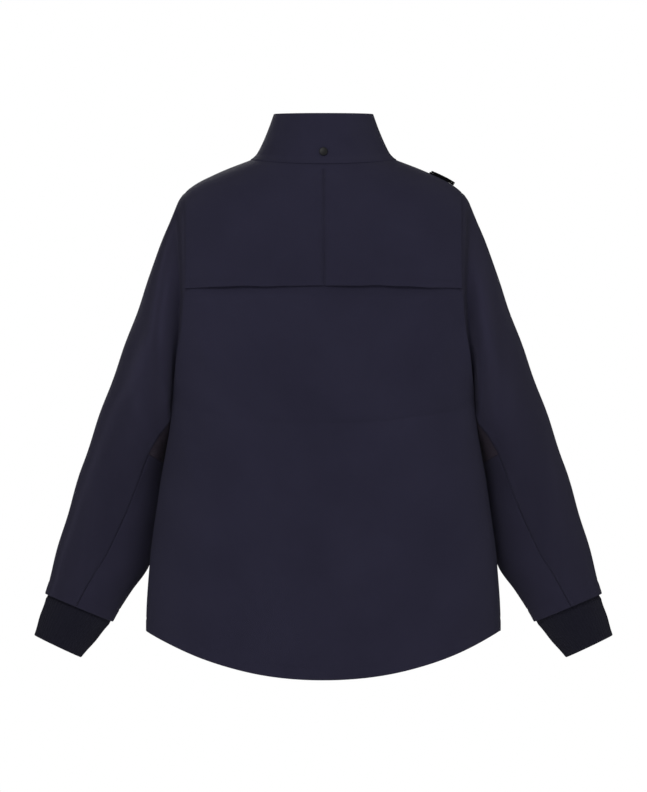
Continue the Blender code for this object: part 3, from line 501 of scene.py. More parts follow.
def neck_z(angle):
    front = np.clip(-np.cos(angle), 0, 1)
    return -0.002 + 0.005 * np.sin(angle) ** 2 - (NECK_FRONT_DROP - 0.002) * front**1.2


def neck_point(angle):
    return faced(NECK_HALF * rounded(np.sin(angle)), neck_z(angle), np.where(np.cos(angle) >= 0, 1.0, -1.0))


print("underarm at", round(UNDERARM_Z, 3))

# %% [markdown]
# ## A cut piece of cloth
# A panel is one surface given a thickness. Where a real edge is folded under, its section is round, so the
# outer and the inner face run together over the last millimetre in a quarter circle. The grid gets
# extra lines there. Wrinkles push both faces along the normal, and a seam's groove only the outer one.

# %% Panels
RIM = (0.0, 0.12, 0.45, 1.0)


def spaced(count, length, power=1.0, radius=CLOTH / 2, ends=(True, True)):
    """Places from 0 to 1 along a side of this length, with extra ones where the edge is round."""
    step = radius / length
    base = 1 - (1 - np.linspace(0, 1, count + 1)) ** power
    low = [r * step for r in RIM] if ends[0] else [0.0]
    high = [1 - r * step for r in RIM] if ends[1] else [1.0]
    inner = base[(base > low[-1] + 0.6 * step) & (base < high[-1] - 0.6 * step)]
    return np.array(sorted([*low, *inner, *high]))


def run_length(grid, axis):
    step = np.linalg.norm(np.diff(grid, axis=axis), axis=-1)
    first = np.zeros_like(np.take(step, [0], axis=axis))
    return np.concatenate([first, np.cumsum(step, axis=axis)], axis=axis)


def facing_out(grid, core, wrap):
    across = np.gradient(grid, axis=0)
    if wrap:
        across[0] = across[-1] = grid[1] - grid[-2]
    normal = np.cross(across, np.gradient(grid, axis=1))
    normal /= np.maximum(np.linalg.norm(normal, axis=-1, keepdims=True), 1e-12)
    outward = np.sum(normal * (grid - core)) > 0
    return (normal if outward else -normal), outward


class Panel:
    """One piece of cloth, and where its outer face lies for what is sewn on it."""

    def __init__(self, name, u, v, surface, core, finish, thickness=CLOTH, depth=0.0, relief=None,
                 groove=None, wrap=False):
        across, along = np.meshgrid(u, v, indexing="ij")
        grid = surface(across, along)
        centre = core(grid)
        normal, outward = facing_out(grid, centre, wrap)
        if relief is not None:
            grid = grid + normal * relief(across, along, grid)[..., None]
            normal, outward = facing_out(grid, centre, wrap)
        wide, tall = run_length(grid, 0), run_length(grid, 1)
        edge = np.minimum(tall, tall[:, -1:] - tall)
        if not wrap:
            edge = np.minimum(edge, np.minimum(wide, wide[-1:] - wide))
        radius = thickness / 2
        swell = radius * np.sqrt(1 - (1 - np.clip(edge / radius, 0, 1)) ** 2)
        sunk = 0.0 if groove is None else groove(across, along, grid) * np.clip(edge / radius, 0, 1)
        spine = grid - normal * (radius + depth)
        self.u, self.v, self.normal = u, v, normal
        self.outer = spine + normal * (swell + sunk)[..., None]
        inner = spine - normal * swell[..., None]
        self.flat = (float(wide[-1].max()), float(tall[:, -1].max()))
        side_a = np.linalg.norm(np.diff(grid, axis=0), axis=-1)[:, :-1]
        side_b = np.linalg.norm(np.diff(grid, axis=1), axis=-1)[:-1, :]
        self.area = float((side_a * side_b).sum())
        self.obj = self.build(name, inner, np.stack([wide, tall], -1), outward, wrap, finish)

    def build(self, name, inner, cloth_uv, outward, wrap, finish):
        columns, rows = self.outer.shape[:2]
        ids = np.arange(columns * rows).reshape(columns, rows)
        shared = np.zeros((columns, rows), bool)
        shared[:, 0] = shared[:, -1] = True
        if wrap:
            ids[-1] = ids[0]
        else:
            shared[0] = shared[-1] = True
        ids_in = np.where(shared, ids, ids + columns * rows)
        quads, maps = [], []
        for table, flip in ((ids, not outward), (ids_in, outward)):
            corners = [table[:-1, :-1], table[1:, :-1], table[1:, 1:], table[:-1, 1:]]
            uv = [cloth_uv[:-1, :-1], cloth_uv[1:, :-1], cloth_uv[1:, 1:], cloth_uv[:-1, 1:]]
            if flip:
                corners, uv = corners[::-1], uv[::-1]
            quads.append(np.stack(corners, -1).reshape(-1, 4))
            maps.append(np.stack(uv, -2).reshape(-1, 4, 2))
        quads, maps = np.concatenate(quads), np.concatenate(maps)
        points = np.concatenate([self.outer.reshape(-1, 3), inner.reshape(-1, 3)])
        used, index = np.unique(quads, return_inverse=True)
        mesh = bpy.data.meshes.new(name)
        mesh.from_pydata(points[used].tolist(), [], index.reshape(-1, 4).tolist())
        layer = mesh.uv_layers.new(name="cloth")
        layer.data.foreach_set("uv", maps.reshape(-1).astype(np.float32))
        mesh.shade_smooth()
        mesh.materials.append(finish)
        obj = bpy.data.objects.new(name, mesh)
        bpy.context.scene.collection.objects.link(obj)
        print(name, len(quads), "faces, cut", [round(x, 3) for x in self.flat])
        return obj

    def at(self, u, v, lift=0.0):
        """Places and normals on the outer face."""
        i = np.interp(u, self.u, np.arange(len(self.u)))
        j = np.interp(v, self.v, np.arange(len(self.v)))
        i0, j0 = np.minimum(i.astype(int), len(self.u) - 2), np.minimum(j.astype(int), len(self.v) - 2)
        a, b = (i - i0)[:, None], (j - j0)[:, None]

        def read(table):
            low = table[i0, j0] * (1 - a) + table[i0 + 1, j0] * a
            high = table[i0, j0 + 1] * (1 - a) + table[i0 + 1, j0 + 1] * a
            return low * (1 - b) + high * b

        normal = read(self.normal)
        normal /= np.linalg.norm(normal, axis=-1, keepdims=True)
        return read(self.outer) + normal * lift, normal

    def sheet(self):
        flat = self.flat
        share = self.area / (flat[0] * flat[1])
        if share < 0.3:
            flat = (self.area / 0.6 / flat[1], flat[1])
        return self


def body_core(grid):
    core = grid.copy()
    core[..., 0] *= 0.4
    core[..., 1] = middle(grid[..., 2])
    return core


def dressed(obj, slot, body, *nodes):
    """Puts a piece on its body in place of its CAD nodes; slot is not used."""
    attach(obj, body)
    if nodes:
        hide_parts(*nodes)
    return obj


def bent(obj, slot, joint_name, start, end, *nodes):
    """For cloth that crosses a joint: bakes its place into its mesh and hides its CAD nodes; slot,
    joint_name, start and end are not used.
    """
    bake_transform(obj)
    if nodes:
        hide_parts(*nodes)
    return obj


# %% [markdown]
# ## Stitches
# Topstitching is a row of short thread humps that dip into the cloth at both ends. One hump is a small
# ball pulled long in edit mode. It is modelled once, and the row is that mesh repeated along a line on
# the panel's face. Each hump needs only a few faces, because there are hundreds of them.

# %% One stitch, and rows of it
bpy.ops.object.select_all(action="DESELECT")
bpy.ops.mesh.primitive_uv_sphere_add(segments=6, ring_count=4, radius=1.0)
bpy.ops.object.mode_set(mode="EDIT")
bpy.ops.mesh.select_all(action="SELECT")
bpy.ops.transform.resize(value=(0.00030, 0.00026, 0.00135))
bpy.ops.object.mode_set(mode="OBJECT")
hump = bpy.context.object
HUMP_POINTS = np.array([v.co for v in hump.data.vertices])
HUMP_FACES = [tuple(p.vertices) for p in hump.data.polygons]
bpy.data.objects.remove(hump)


def path_points(panel, u, v, pitch, lift):
    """Even places along a line drawn on a panel, with the way on and the way out at each."""
    fine_u, fine_v = (np.interp(np.linspace(0, 1, 900), np.linspace(0, 1, len(a)), a) for a in (u, v))
    points, normals = panel.at(fine_u, fine_v, lift)
    run = np.concatenate([[0], np.cumsum(np.linalg.norm(np.diff(points, axis=0), axis=1))])
    places = np.arange(pitch / 2, run[-1], pitch)
    place = np.stack([np.interp(places, run, points[:, k]) for k in range(3)], -1)
    normal = np.stack([np.interp(places, run, normals[:, k]) for k in range(3)], -1)
    ahead = np.stack([np.interp(places + 0.001, run, points[:, k]) for k in range(3)], -1)
    behind = np.stack([np.interp(places - 0.001, run, points[:, k]) for k in range(3)], -1)
    way = ahead - behind
    way /= np.maximum(np.linalg.norm(way, axis=1, keepdims=True), 1e-9)
    side = np.cross(normal, way)
    side /= np.maximum(np.linalg.norm(side, axis=1, keepdims=True), 1e-9)
    return place, side, np.cross(way, side), way


def repeated(name, points, faces, place, axes, finish):
    """One mesh that holds a small shape many times, each turned to its own three axes."""
    turned_points = sum(points[None, :, k, None] * axes[k][:, None, :] for k in range(3))
    cloud = (turned_points + place[:, None, :]).reshape(-1, 3)
    count, size = len(place), len(points)
    all_faces = [tuple(i * size + k for k in face) for i in range(count) for face in faces]
    mesh = bpy.data.meshes.new(name)
    mesh.from_pydata(cloud.tolist(), [], all_faces)
    mesh.shade_smooth()
    mesh.materials.append(finish)
    obj = bpy.data.objects.new(name, mesh)
    bpy.context.scene.collection.objects.link(obj)
    return obj


def stitched(name, panel, lines, pitch=0.0036):
    """A row of stitches along each line of a panel, a line being its u and v places."""
    rows = [path_points(panel, np.atleast_1d(u), np.atleast_1d(v), pitch, 0.00004) for u, v in lines]
    place, side, out, way = (np.concatenate([row[k] for row in rows]) for k in range(4))
    obj = repeated(name, HUMP_POINTS, HUMP_FACES, place, (side, out, way), THREAD)
    print(name, len(place), "stitches")
    return obj


def both(value, count=60):
    return np.full(count, float(value))


def folds(x, z, lines):
    """Height of soft folds, each a ridge along a line: its two ends, its width and its height."""
    total = np.zeros(np.broadcast(x, z).shape)
    for ax, az, bx, bz, width, height in lines:
        length = math.hypot(bx - ax, bz - az)
        ex, ez = (bx - ax) / length, (bz - az) / length
        along = ((x - ax) * ex + (z - az) * ez) / length
        away = (x - ax) * ez - (z - az) * ex
        ends = ease(1.6 * np.clip(along, 0, 1)) * ease(1.6 * np.clip(1 - along, 0, 1))
        total += height * bump(away, width) * ends
    return total


# %% [markdown]
# ## Back panel
# The back hangs from under the cape to a dropped, curved hem, and turns round both sides. Its hem is folded
# and sewn down with one row. Its top runs up behind the cape's free edge, a little deeper, so that the
# vent shows as a dark line. The folds are low: softshell is stiff enough to hang almost flat.

# %% Back panel
TUCK = 0.020
BACK_TOP = -VENT_DROP + TUCK
HEM_FOLD = 0.018


def vent_z(x):
    return -VENT_DROP - 0.0035 * (x / SHOULDER_HALF) ** 2


def back_surface(u, v):
    low = hem_z(HEM_HALF * rounded(np.sin(u * math.pi / 2)))
    z = mix(low, BACK_TOP, v)
    return turned(u * edge_turn(z), z)


def back_relief(u, v, grid):
    x, z = grid[..., 0], grid[..., 2]
    tucked = -0.0034 * ease((z - vent_z(x) + 0.016) / 0.016)
    sway = 0.0011 * np.sin(x * 33 + 0.8) * ease((-0.35 - z) / 0.35) + 0.0006 * np.sin(x * 71 + z * 9 + 2.0)
    soft = folds(x, z, [
        (0.190, -0.200, 0.150, -0.330, 0.010, 0.0024), (-0.190, -0.210, -0.148, -0.335, 0.010, 0.0024),
        (0.205, -0.330, 0.175, -0.520, 0.012, 0.0021), (-0.207, -0.335, -0.172, -0.505, 0.012, 0.0020),
        (0.192, -0.188, 0.110, -0.204, 0.005, 0.0013), (-0.190, -0.186, -0.080, -0.206, 0.005, 0.0014),
        (0.130, -0.560, 0.165, -0.700, 0.018, 0.0022), (-0.125, -0.570, -0.150, -0.690, 0.019, 0.0021),
        (0.060, -0.250, 0.030, -0.480, 0.022, 0.0010), (-0.070, -0.300, -0.050, -0.560, 0.024, 0.0011),
    ])
    edge = np.clip((1 - np.abs(u)) / 0.06, 0, 1)
    return tucked + (sway + soft) * edge


def back_groove(u, v, grid):
    rise = grid[..., 2] - hem_z(grid[..., 0])
    return 0.00025 * ease((HEM_FOLD - rise) / 0.004) - 0.00045 * bump(rise - HEM_FOLD, 0.0011)


back = Panel("back_cloth", 2 * spaced(150, 0.62) - 1, spaced(170, 0.57), back_surface, body_core, SHELL,
             relief=back_relief, groove=back_groove)
dressed(back.obj, "shell_fabric", "jacket_body", "back_panel")
back.sheet()
hem_u = np.linspace(-0.985, 0.985, 200)
hem_low = hem_z(HEM_HALF * rounded(np.sin(hem_u * math.pi / 2)))
hem_stitch = stitched("back_hem_stitches", back, [(hem_u, HEM_FOLD / (BACK_TOP - hem_low))])
dressed(hem_stitch, "shell_fabric", "jacket_body")

# %% [markdown]
# ## Cape
# The yoke is cut in two halves that meet in a topstitched seam down the middle, and it ends in a free edge
# across the back, folded and sewn, and tacked down only at the armholes. The edge stands a few millimetres
# off the panel below. On the jacket its lower strip lifts on the vent's hinge, but this piece isn't bent
# there.

# %% Cape halves
NECK_SHARE = 0.46
CAPE_FOLD = 0.011
SEAM_LAP = 0.0006  # each half runs this far past the middle, so that the seam is closed


def head_line(u):
    """Width and height of the yoke's top edge: the neck, and then the shoulder seam."""
    turn = np.clip(u / NECK_SHARE, 0, 1) * math.pi / 2
    neck = neck_point(turn)
    neck_side = float(neck_point(np.array(math.pi / 2))[2])
    shoulder_z = mix(neck_side, -SHOULDER_DROP, np.clip((u - NECK_SHARE) / (1 - NECK_SHARE), 0, 1))
    on_neck = u <= NECK_SHARE
    head_x = np.where(on_neck, neck[..., 0], half_width(shoulder_z))
    return head_x, np.where(on_neck, neck[..., 2], shoulder_z)


def cape_surface(side):
    def surface(u, v):
        head_x, head_z = head_line(u)
        foot_x = u * (SHOULDER_HALF - 0.0012)
        uneven = 0.0008 * np.sin(foot_x * 45 + 2 * side) + 0.0004 * np.sin(foot_x * 120 + side)
        z = mix(vent_z(foot_x) + uneven * np.sin(u * math.pi), head_z, v)
        last_x = mix(SHOULDER_HALF - 0.0012, SHOULDER_HALF, v)
        x = mix(foot_x, head_x, v) + u**3 * (np.minimum(arm_edge(z), SHOULDER_HALF) - last_x)
        x = x - SEAM_LAP * (1 - ease(u / 0.05))
        grid = faced(np.minimum(x, half_width(z)), z, 1)
        grid[..., 1] -= SEAM_LAP * ease((v - 0.96) / 0.04)
        grid[..., 0] *= side
        return grid

    return surface


def cape_relief(side):
    def relief(u, v, grid):
        x, z = grid[..., 0] * side, grid[..., 2]
        low = ease((-0.128 - z) / 0.050)
        lobe = 0.0030 * bump(x - 0.115, 0.055) if side > 0 else 0.0028 * bump(x - 0.085, 0.060)
        soft = folds(x, z, [
            (0.192, -0.150, 0.120, -0.164, 0.006, 0.0016), (0.188, -0.090, 0.125, -0.125, 0.010, 0.0014),
            (0.020, -0.060, 0.012, -0.150, 0.008, 0.0010), (0.095, -0.020, 0.150, -0.060, 0.010, 0.0010),
        ])
        wave = 0.0005 * np.sin(x * 60 + side) * ease(-z / 0.1)
        valley = 0.0028 * bump(x, 0.0019) * ease((0.97 - v) / 0.05)  # along the centre seam
        lifted = (0.0009 + lobe) * low * ease((0.1900 - x) / 0.030)
        at_arm = 0.0005 * ease((u - 0.985) / 0.015) * v
        return lifted + (soft + wave - valley) * np.clip((1 - u) / 0.08, 0, 1) - at_arm

    return relief


def cape_groove(u, v, grid):
    x, z = np.abs(grid[..., 0]), grid[..., 2]
    rise = z - vent_z(x)
    seam = -0.0006 * bump(x - 0.0036, 0.0011)
    return seam - 0.0005 * bump(rise - CAPE_FOLD, 0.0011)


FLAP_TOP = -VENT_DROP + VENT_FLAP_HEIGHT
CAPE_BEND = ((0, CHEST_Y, FLAP_TOP + 0.014), (0, CHEST_Y, FLAP_TOP - 0.018))
for name, side in SIDES:
    cape = Panel(f"cape_cloth_{name}", spaced(90, 0.2), spaced(80, 0.18, 1.6), cape_surface(side), body_core,
                 SHELL, relief=cape_relief(side), groove=cape_groove)
    bent(cape.obj, "shell_fabric", "vent_lift", *CAPE_BEND, f"yoke_{name}", f"vent_flap_{name}")
    cape.sheet()
    seam_u = 0.0036 / (SHOULDER_HALF * np.linspace(1.0, 0.55, 60))
    rows = [(seam_u, np.linspace(0.01, 0.985, 60)), (np.linspace(0.02, 0.985, 60), both(CAPE_FOLD / 0.165))]
    tack = [(np.array([q, q]), np.array([0.012, 0.070])) for q in (0.952, 0.958, 0.964)]
    sewn = stitched(f"cape_stitches_{name}", cape, rows)
    bent(sewn, "shell_fabric", "vent_lift", *CAPE_BEND)
    tacked = stitched(f"cape_tack_{name}", cape, tack, 0.0018)
    bent(tacked, "shell_fabric", "vent_lift", *CAPE_BEND)

# %% [markdown]
# ## Vent mesh and back lining
# Behind the cape's free edge a strip of mesh lets warm air out and keeps the opening from gaping. Below it
# the back is lined with a thin, slightly rumpled cloth that stops short of the hem. Both are cut from the
# body's surface and pushed inwards by their own depth, so that they never touch the softshell.

# %% Vent mesh and back lining


def vent_surface(u, v):
    wide = SHOULDER_HALF - 0.015
    return faced(mix(-wide, wide, u), mix(-VENT_DROP - 0.030, FLAP_TOP + 0.010, v), 1)


vent_net = Panel("vent_net", spaced(60, 0.36), spaced(16, 0.08), vent_surface, body_core, NET, 0.0008, 0.0060)
dressed(vent_net.obj, "mesh_fabric", "jacket_body", "vent_mesh")
vent_net.sheet()


def lining_surface(u, v):
    low = hem_z(HEM_HALF * rounded(np.sin(u * math.pi / 2))) + 0.030
    z = mix(low, -VENT_DROP - 0.035, v)
    return turned(u * edge_turn(z), z)


def soft_lining(u, v, grid):
    x, z = grid[..., 0], grid[..., 2]
    return -0.0008 - 0.0008 * np.sin(x * 45 + z * 12) * np.sin(z * 30)


back_lining = Panel("back_lining_cloth", 1.94 * spaced(70, 0.6) - 0.97, spaced(60, 0.45), lining_surface,
                    body_core, LINING, 0.0008, 0.0040, relief=soft_lining)
dressed(back_lining.obj, "lining_fabric", "jacket_body", "back_lining")
back_lining.sheet()

# %% [markdown]
# ## Fronts
# Each front is one cloth from the zip round to the side. The jacket folds open along a slanting line, but
# this piece isn't bent there. Its grid is the body's oval below the armhole, and above it the same columns
# run on to the neck and the shoulder.

# %% Front cloth
SPLIT_HEM_X, SPLIT_TOP_X, ZIP_EDGE_X = 0.095, 0.050, 0.0125
WAIST_Z, WAIST_SHARE = -0.200, 0.70  # below the waist a row runs round the body, above it follows the yoke


def split_x(z):
    return mix(SPLIT_HEM_X, SPLIT_TOP_X, (np.asarray(z) + BACK_LENGTH) / (BACK_LENGTH + COLLAR_HEIGHT))


def neck_turn_at(x):
    return math.pi - np.arcsin((x / NECK_HALF) ** (ROUNDNESS / 2))


def front_turn(u, z):
    inner = np.arcsin((ZIP_EDGE_X / half_width(z)) ** (ROUNDNESS / 2))
    return mix(inner, edge_turn(z), u)


def front_surface(side):
    def surface(u, v):
        rim = np.abs(rounded(np.sin(mix(0.06, math.pi / 2, u))))
        share = np.clip(v / WAIST_SHARE, 0, 1)
        z_low = mix(hem_z(HEM_HALF * rim, front=True), WAIST_Z, share)
        lower = turned(math.pi - front_turn(u, z_low), z_low)
        waist = turned(math.pi - front_turn(u, np.full_like(u, WAIST_Z)), np.full_like(u, WAIST_Z))
        turn = mix(neck_turn_at(ZIP_EDGE_X), math.pi / 2, np.clip(u / 0.5, 0, 1))
        neck = neck_point(turn)
        neck_side = float(neck_point(np.array(math.pi / 2))[2])
        shoulder_z = mix(neck_side, -SHOULDER_DROP, np.clip((u - 0.5) / 0.5, 0, 1))
        head_x = np.where(u <= 0.5, neck[..., 0], half_width(shoulder_z))
        head_z = np.where(u <= 0.5, neck[..., 2], shoulder_z)
        up = 1 - (1 - np.clip((v - WAIST_SHARE) / (1 - WAIST_SHARE), 0, 1)) ** 1.7
        z = mix(WAIST_Z, head_z, up)
        foot_edge = float(arm_edge(WAIST_Z))
        x = mix(waist[..., 0], head_x, up) + u**3 * (arm_edge(z) - mix(foot_edge, SHOULDER_HALF, up))
        upper = faced(np.minimum(x, half_width(z)), z, -1)
        upper[..., 1] += SEAM_LAP * ease((v - 0.985) / 0.015)
        grid = np.where((v <= WAIST_SHARE)[..., None], lower, upper)
        grid[..., 0] *= side
        return grid

    return surface


def front_relief(side):
    def relief(u, v, grid):
        x, z = grid[..., 0] * side, grid[..., 2]
        soft = folds(x, z, [
            (0.190, -0.240, 0.110, -0.300, 0.014, 0.0018), (0.200, -0.330, 0.130, -0.400, 0.014, 0.0014),
            (0.060, -0.110, 0.090, -0.230, 0.016, 0.0013), (0.110, -0.600, 0.130, -0.700, 0.020, 0.0015),
        ])
        inland = np.clip((1 - u) / 0.1, 0, 1) * np.clip(u / 0.2, 0, 1)
        return (soft + 0.0006 * np.sin(x * 60 + z * 8)) * inland

    return relief


def front_groove(u, v, grid):
    x, z = np.abs(grid[..., 0]), grid[..., 2]
    hem = -0.0004 * bump(z - hem_z(x, front=True) - HEM_FOLD, 0.0011)
    return hem - 0.0004 * bump(x - ZIP_EDGE_X - 0.008, 0.0010) * ease((-0.05 - z) / 0.02)


def fold_bend(side):
    """Places on both sides of a front's folding line."""
    joint = joints[f"front_{'left' if side > 0 else 'right'}_open"]
    axis = Vector(joint["axis"]).normalized()
    across = Vector((side, 0, 0))
    across = (across - axis * across.dot(axis)).normalized()
    pivot = Vector(joint["pos_m"])
    return tuple(pivot + across * 0.022), tuple(pivot - across * 0.022)


FRONT_BEND = {name: fold_bend(side) for name, side in SIDES}
for name, side in SIDES:
    front = Panel(f"front_cloth_{name}", spaced(110, 0.3), spaced(150, 0.7), front_surface(side), body_core,
                  SHELL, relief=front_relief(side), groove=front_groove)
    nodes = (f"side_front_{name}", f"centre_front_{name}")
    bent(front.obj, "shell_fabric", f"front_{name}_open", *FRONT_BEND[name], *nodes)
    front.sheet()
    edge_u = np.interp(np.linspace(0, 1, 60), [0, 1], [0.034, 0.050])
    rows = [(edge_u, np.linspace(0.01, 0.95, 60)), (np.linspace(0.03, 0.98, 120), both(HEM_FOLD / 0.68, 120))]
    sewn = stitched(f"front_stitches_{name}", front, rows)
    bent(sewn, "shell_fabric", f"front_{name}_open", *FRONT_BEND[name])

# %% [markdown]
# ## Side linings and front facings
# Each front has a strip of softshell folded back along the zip, the facing, which turns with the front. From
# there to the side runs a lining, which stays with the body. One piece could cover both, but a real facing
# is stiffer and has its own edge, and that shows as soon as the front is open.

# %% Side linings and front facings


def side_lining_surface(side):
    def surface(u, v):
        rim = np.abs(rounded(np.sin(mix(0.45, 1.52, u))))
        z = mix(hem_z(HEM_HALF * rim, front=True) + 0.030, WAIST_Z, v)
        inner = np.arcsin(((split_x(z) + 0.006) / half_width(z)) ** (ROUNDNESS / 2))
        grid = turned(math.pi - mix(inner, edge_turn(z) * 0.97, u), z)
        grid[..., 0] *= side
        return grid

    return surface


FACING_EDGE_X = 0.0085  # clear of the slider's plates


def facing_surface(side):
    def surface(u, v):
        top_z = neck_z(neck_turn_at(mix(0.003, 0.052, u)))
        z = mix(hem_z(mix(0.003, SPLIT_HEM_X, u), front=True) + 0.005, top_z - 0.002, v)
        grid = faced(mix(FACING_EDGE_X, split_x(z) - 0.002, u), z, -1)
        grid[..., 0] *= side
        return grid

    return surface


def facing_relief(u, v, grid):
    """Beside the zip the facing comes forward to the tape it's sewn on."""
    return 0.0050 * (1 - ease(u / 0.35))


for name, side in SIDES:
    inside = Panel(f"side_lining_cloth_{name}", spaced(40, 0.16), spaced(60, 0.45), side_lining_surface(side),
                   body_core, LINING, 0.0008, 0.0040, relief=soft_lining)
    dressed(inside.obj, "lining_fabric", "jacket_body", f"side_lining_{name}")
    inside.sheet()
    facing = Panel(f"facing_cloth_{name}", spaced(16, 0.08), spaced(80, 0.65), facing_surface(side),
                   body_core, SHELL, 0.0010, 0.0094, relief=facing_relief)
    dressed(facing.obj, "lining_fabric", f"front_{name}", f"front_facing_{name}")
    facing.sheet()

# %% [markdown]
# ## Collar
# The stand collar is a tapered band. It flares where it meets the body, and its top is folded over. The
# collar opens with the zip, and the back part stays with the body; the front parts are separate pieces, but
# they aren't bent with the fronts. A lining hides the inside, and the snap for a hood sits just above the
# seam.

# %% Collar cloth
COLLAR_SPLIT = 1.75


def collar_point(angle, share):
    low = neck_point(angle)
    top_z = COLLAR_HEIGHT - COLLAR_FRONT_DIP * np.clip(-np.cos(angle), 0, 1) ** 1.5
    top_front = front_line(COLLAR_HEIGHT - COLLAR_FRONT_DIP)
    top_y = mix(top_front, back_line(COLLAR_HEIGHT), (1 + rounded(np.cos(angle))) / 2)
    flare = np.maximum(share, 0.0) ** 0.7
    x, z = mix(low[..., 0], COLLAR_TOP_HALF * rounded(np.sin(angle)), flare), mix(low[..., 2], top_z, share)
    y = mix(low[..., 1], top_y, np.where(np.cos(angle) < 0, share, flare))
    return together(x, y, z)


def collar_core(grid):
    core = grid.copy()
    core[..., 0] = 0.0
    core[..., 1] = float(middle(COLLAR_HEIGHT))
    return core


def collar_edge(u, v, grid):
    """The collar's lower edge lies over the cape: a rolled seam that stands proud of it."""
    return 0.0016 * (1 - ease(v / 0.16))


def collar_relief(u, v, grid):
    x, z, back_side = grid[..., 0], grid[..., 2], grid[..., 1] > -0.07
    soft = folds(x, z, [
        (0.030, 0.064, 0.036, 0.020, 0.006, 0.0014), (-0.028, 0.062, -0.046, 0.012, 0.007, 0.0015),
        (0.060, 0.050, 0.080, 0.006, 0.005, 0.0016), (-0.066, 0.052, -0.088, 0.006, 0.005, 0.0017),
        (-0.010, 0.058, 0.020, 0.048, 0.008, 0.0010),
    ])
    soft = np.where(back_side, soft, 0.0) * np.clip(v / 0.15, 0, 1) * np.clip((1 - v) / 0.08, 0, 1)
    return soft + collar_edge(u, v, grid)


def collar_groove(u, v, grid):
    return -0.0006 * bump((v - 0.055) * 0.075, 0.0010)


def angled(low, high):
    return lambda u, v: collar_point(mix(low, high, u), mix(-0.030, 1.0, v))


collar = Panel("collar_cloth", spaced(150, 0.36), spaced(44, 0.075), angled(-COLLAR_SPLIT, COLLAR_SPLIT),
               collar_core, SHELL, relief=collar_relief, groove=collar_groove)
dressed(collar.obj, "shell_fabric", "jacket_body", "collar_back")
collar.sheet()
sewn = stitched("collar_stitches", collar, [(np.linspace(0.01, 0.99, 120), both(0.055, 120))])
dressed(sewn, "shell_fabric", "jacket_body")


def collar_front_surface(side):
    end = math.pi - math.asin((ZIP_EDGE_X / NECK_HALF) ** (ROUNDNESS / 2))

    def surface(u, v):
        share = mix(-0.030, 1.0, v)
        grid = collar_point(mix(COLLAR_SPLIT, end, u), share)
        edge_x = collar_point(np.full_like(u, end), share)[..., 0]
        grid[..., 0] = (grid[..., 0] + (ZIP_EDGE_X - edge_x) * u**2) * side
        return grid

    return surface


for name, side in SIDES:
    piece = Panel(f"collar_front_cloth_{name}", spaced(60, 0.12), spaced(44, 0.1), collar_front_surface(side),
                  collar_core, SHELL, relief=collar_edge, groove=collar_groove)
    bent(piece.obj, "shell_fabric", f"front_{name}_open", *FRONT_BEND[name], f"collar_front_{name}")
    piece.sheet()

inner_collar = Panel("collar_lining_cloth", spaced(90, 0.33), spaced(20, 0.06), lambda u, v: collar_point(
    mix(-1.80, 1.80, u), mix(0.30, 0.965, v)), collar_core, LINING, 0.0008, 0.0028)
dressed(inner_collar.obj, "lining_fabric", "jacket_body", "collar_lining")
inner_collar.sheet()

# %% [markdown]
# ## Sleeves
# A sleeve is a tube that starts as the upright armhole and ends as a slanting oval at the wrist. It's cut in
# two: an over-arm piece, and an under-arm piece whose top is mesh. The rear seam between them swings from the
# armpit to the middle of the wrist. Both cloths cross the elbow, where they crease softly, but they aren't
# bent there.

# %% Sleeve surface
ELBOW, GUSSET_SHARE = 0.5, 0.45
SLEEVE_CLEAR, ARM_TUCK = 0.0002, 0.0030
HEAD_FULLNESS = 0.0026  # the sleeve's head stands a little out from the shoulder's end
ARM_HUG = 0.0040  # keeps the underarm against the body's side
ARM_UNDER = 0.0026  # how deep the sleeve's head lies under the body's edge
ARM_DIP = 0.0210  # how far the sleeve sinks again beside that edge


def sleeve_line(places):
    return [smooth([(t, p[i]) for t, p in places]) for i in (0, 1)]


OUTER_X, OUTER_Z = sleeve_line([
    (0.0, (SHOULDER_HALF + 0.0012, -SHOULDER_DROP - 0.001)),
    (0.12, (SHOULDER_HALF + 0.0305, -SHOULDER_DROP - 0.062)),
    (0.25, (SHOULDER_HALF + 0.0640, -SHOULDER_DROP - 0.156)),
    (0.50, (SHOULDER_HALF + 0.1392, -SHOULDER_DROP - 0.3645)),
    (0.75, (SHOULDER_HALF + 0.1765, -SHOULDER_DROP - 0.4850)),
    (1.0, (SHOULDER_HALF + 0.2005, -SHOULDER_DROP - 0.5710)),
])
INNER_X, INNER_Z = sleeve_line([
    (0.0, (CHEST_HALF, UNDERARM_Z)),
    (0.25, (CHEST_HALF + 0.0030, UNDERARM_Z - 0.040)),
    (0.50, (CHEST_HALF + 0.0100, UNDERARM_Z - 0.100)),
    (0.75, (CHEST_HALF + 0.0306, UNDERARM_Z - 0.223)),
    (0.875, (CHEST_HALF + 0.0578, UNDERARM_Z - 0.2665)),
    (1.0, (CHEST_HALF + 0.0845, UNDERARM_Z - 0.310)),
])
SLEEVE_Y = smooth([(0.0, -0.067), (0.25, -0.095), (0.5, -0.118), (0.75, -0.125), (1.0, -0.130)])
SLEEVE_DEPTH = smooth([(0.0, 0.072), (0.25, 0.068), (0.5, 0.053), (0.75, 0.046), (1.0, 0.040)])
REAR_SEAM = smooth([
    (0.0, 2.80), (0.25, 2.56), (0.37, 2.29), (0.45, 2.11), (0.55, 1.98), (0.75, 1.66), (1.0, 1.49),
])
FRONT_SEAM = smooth([(0.0, 2.84), (0.22, 2.66), (0.5, 2.40), (1.0, 2.30)])


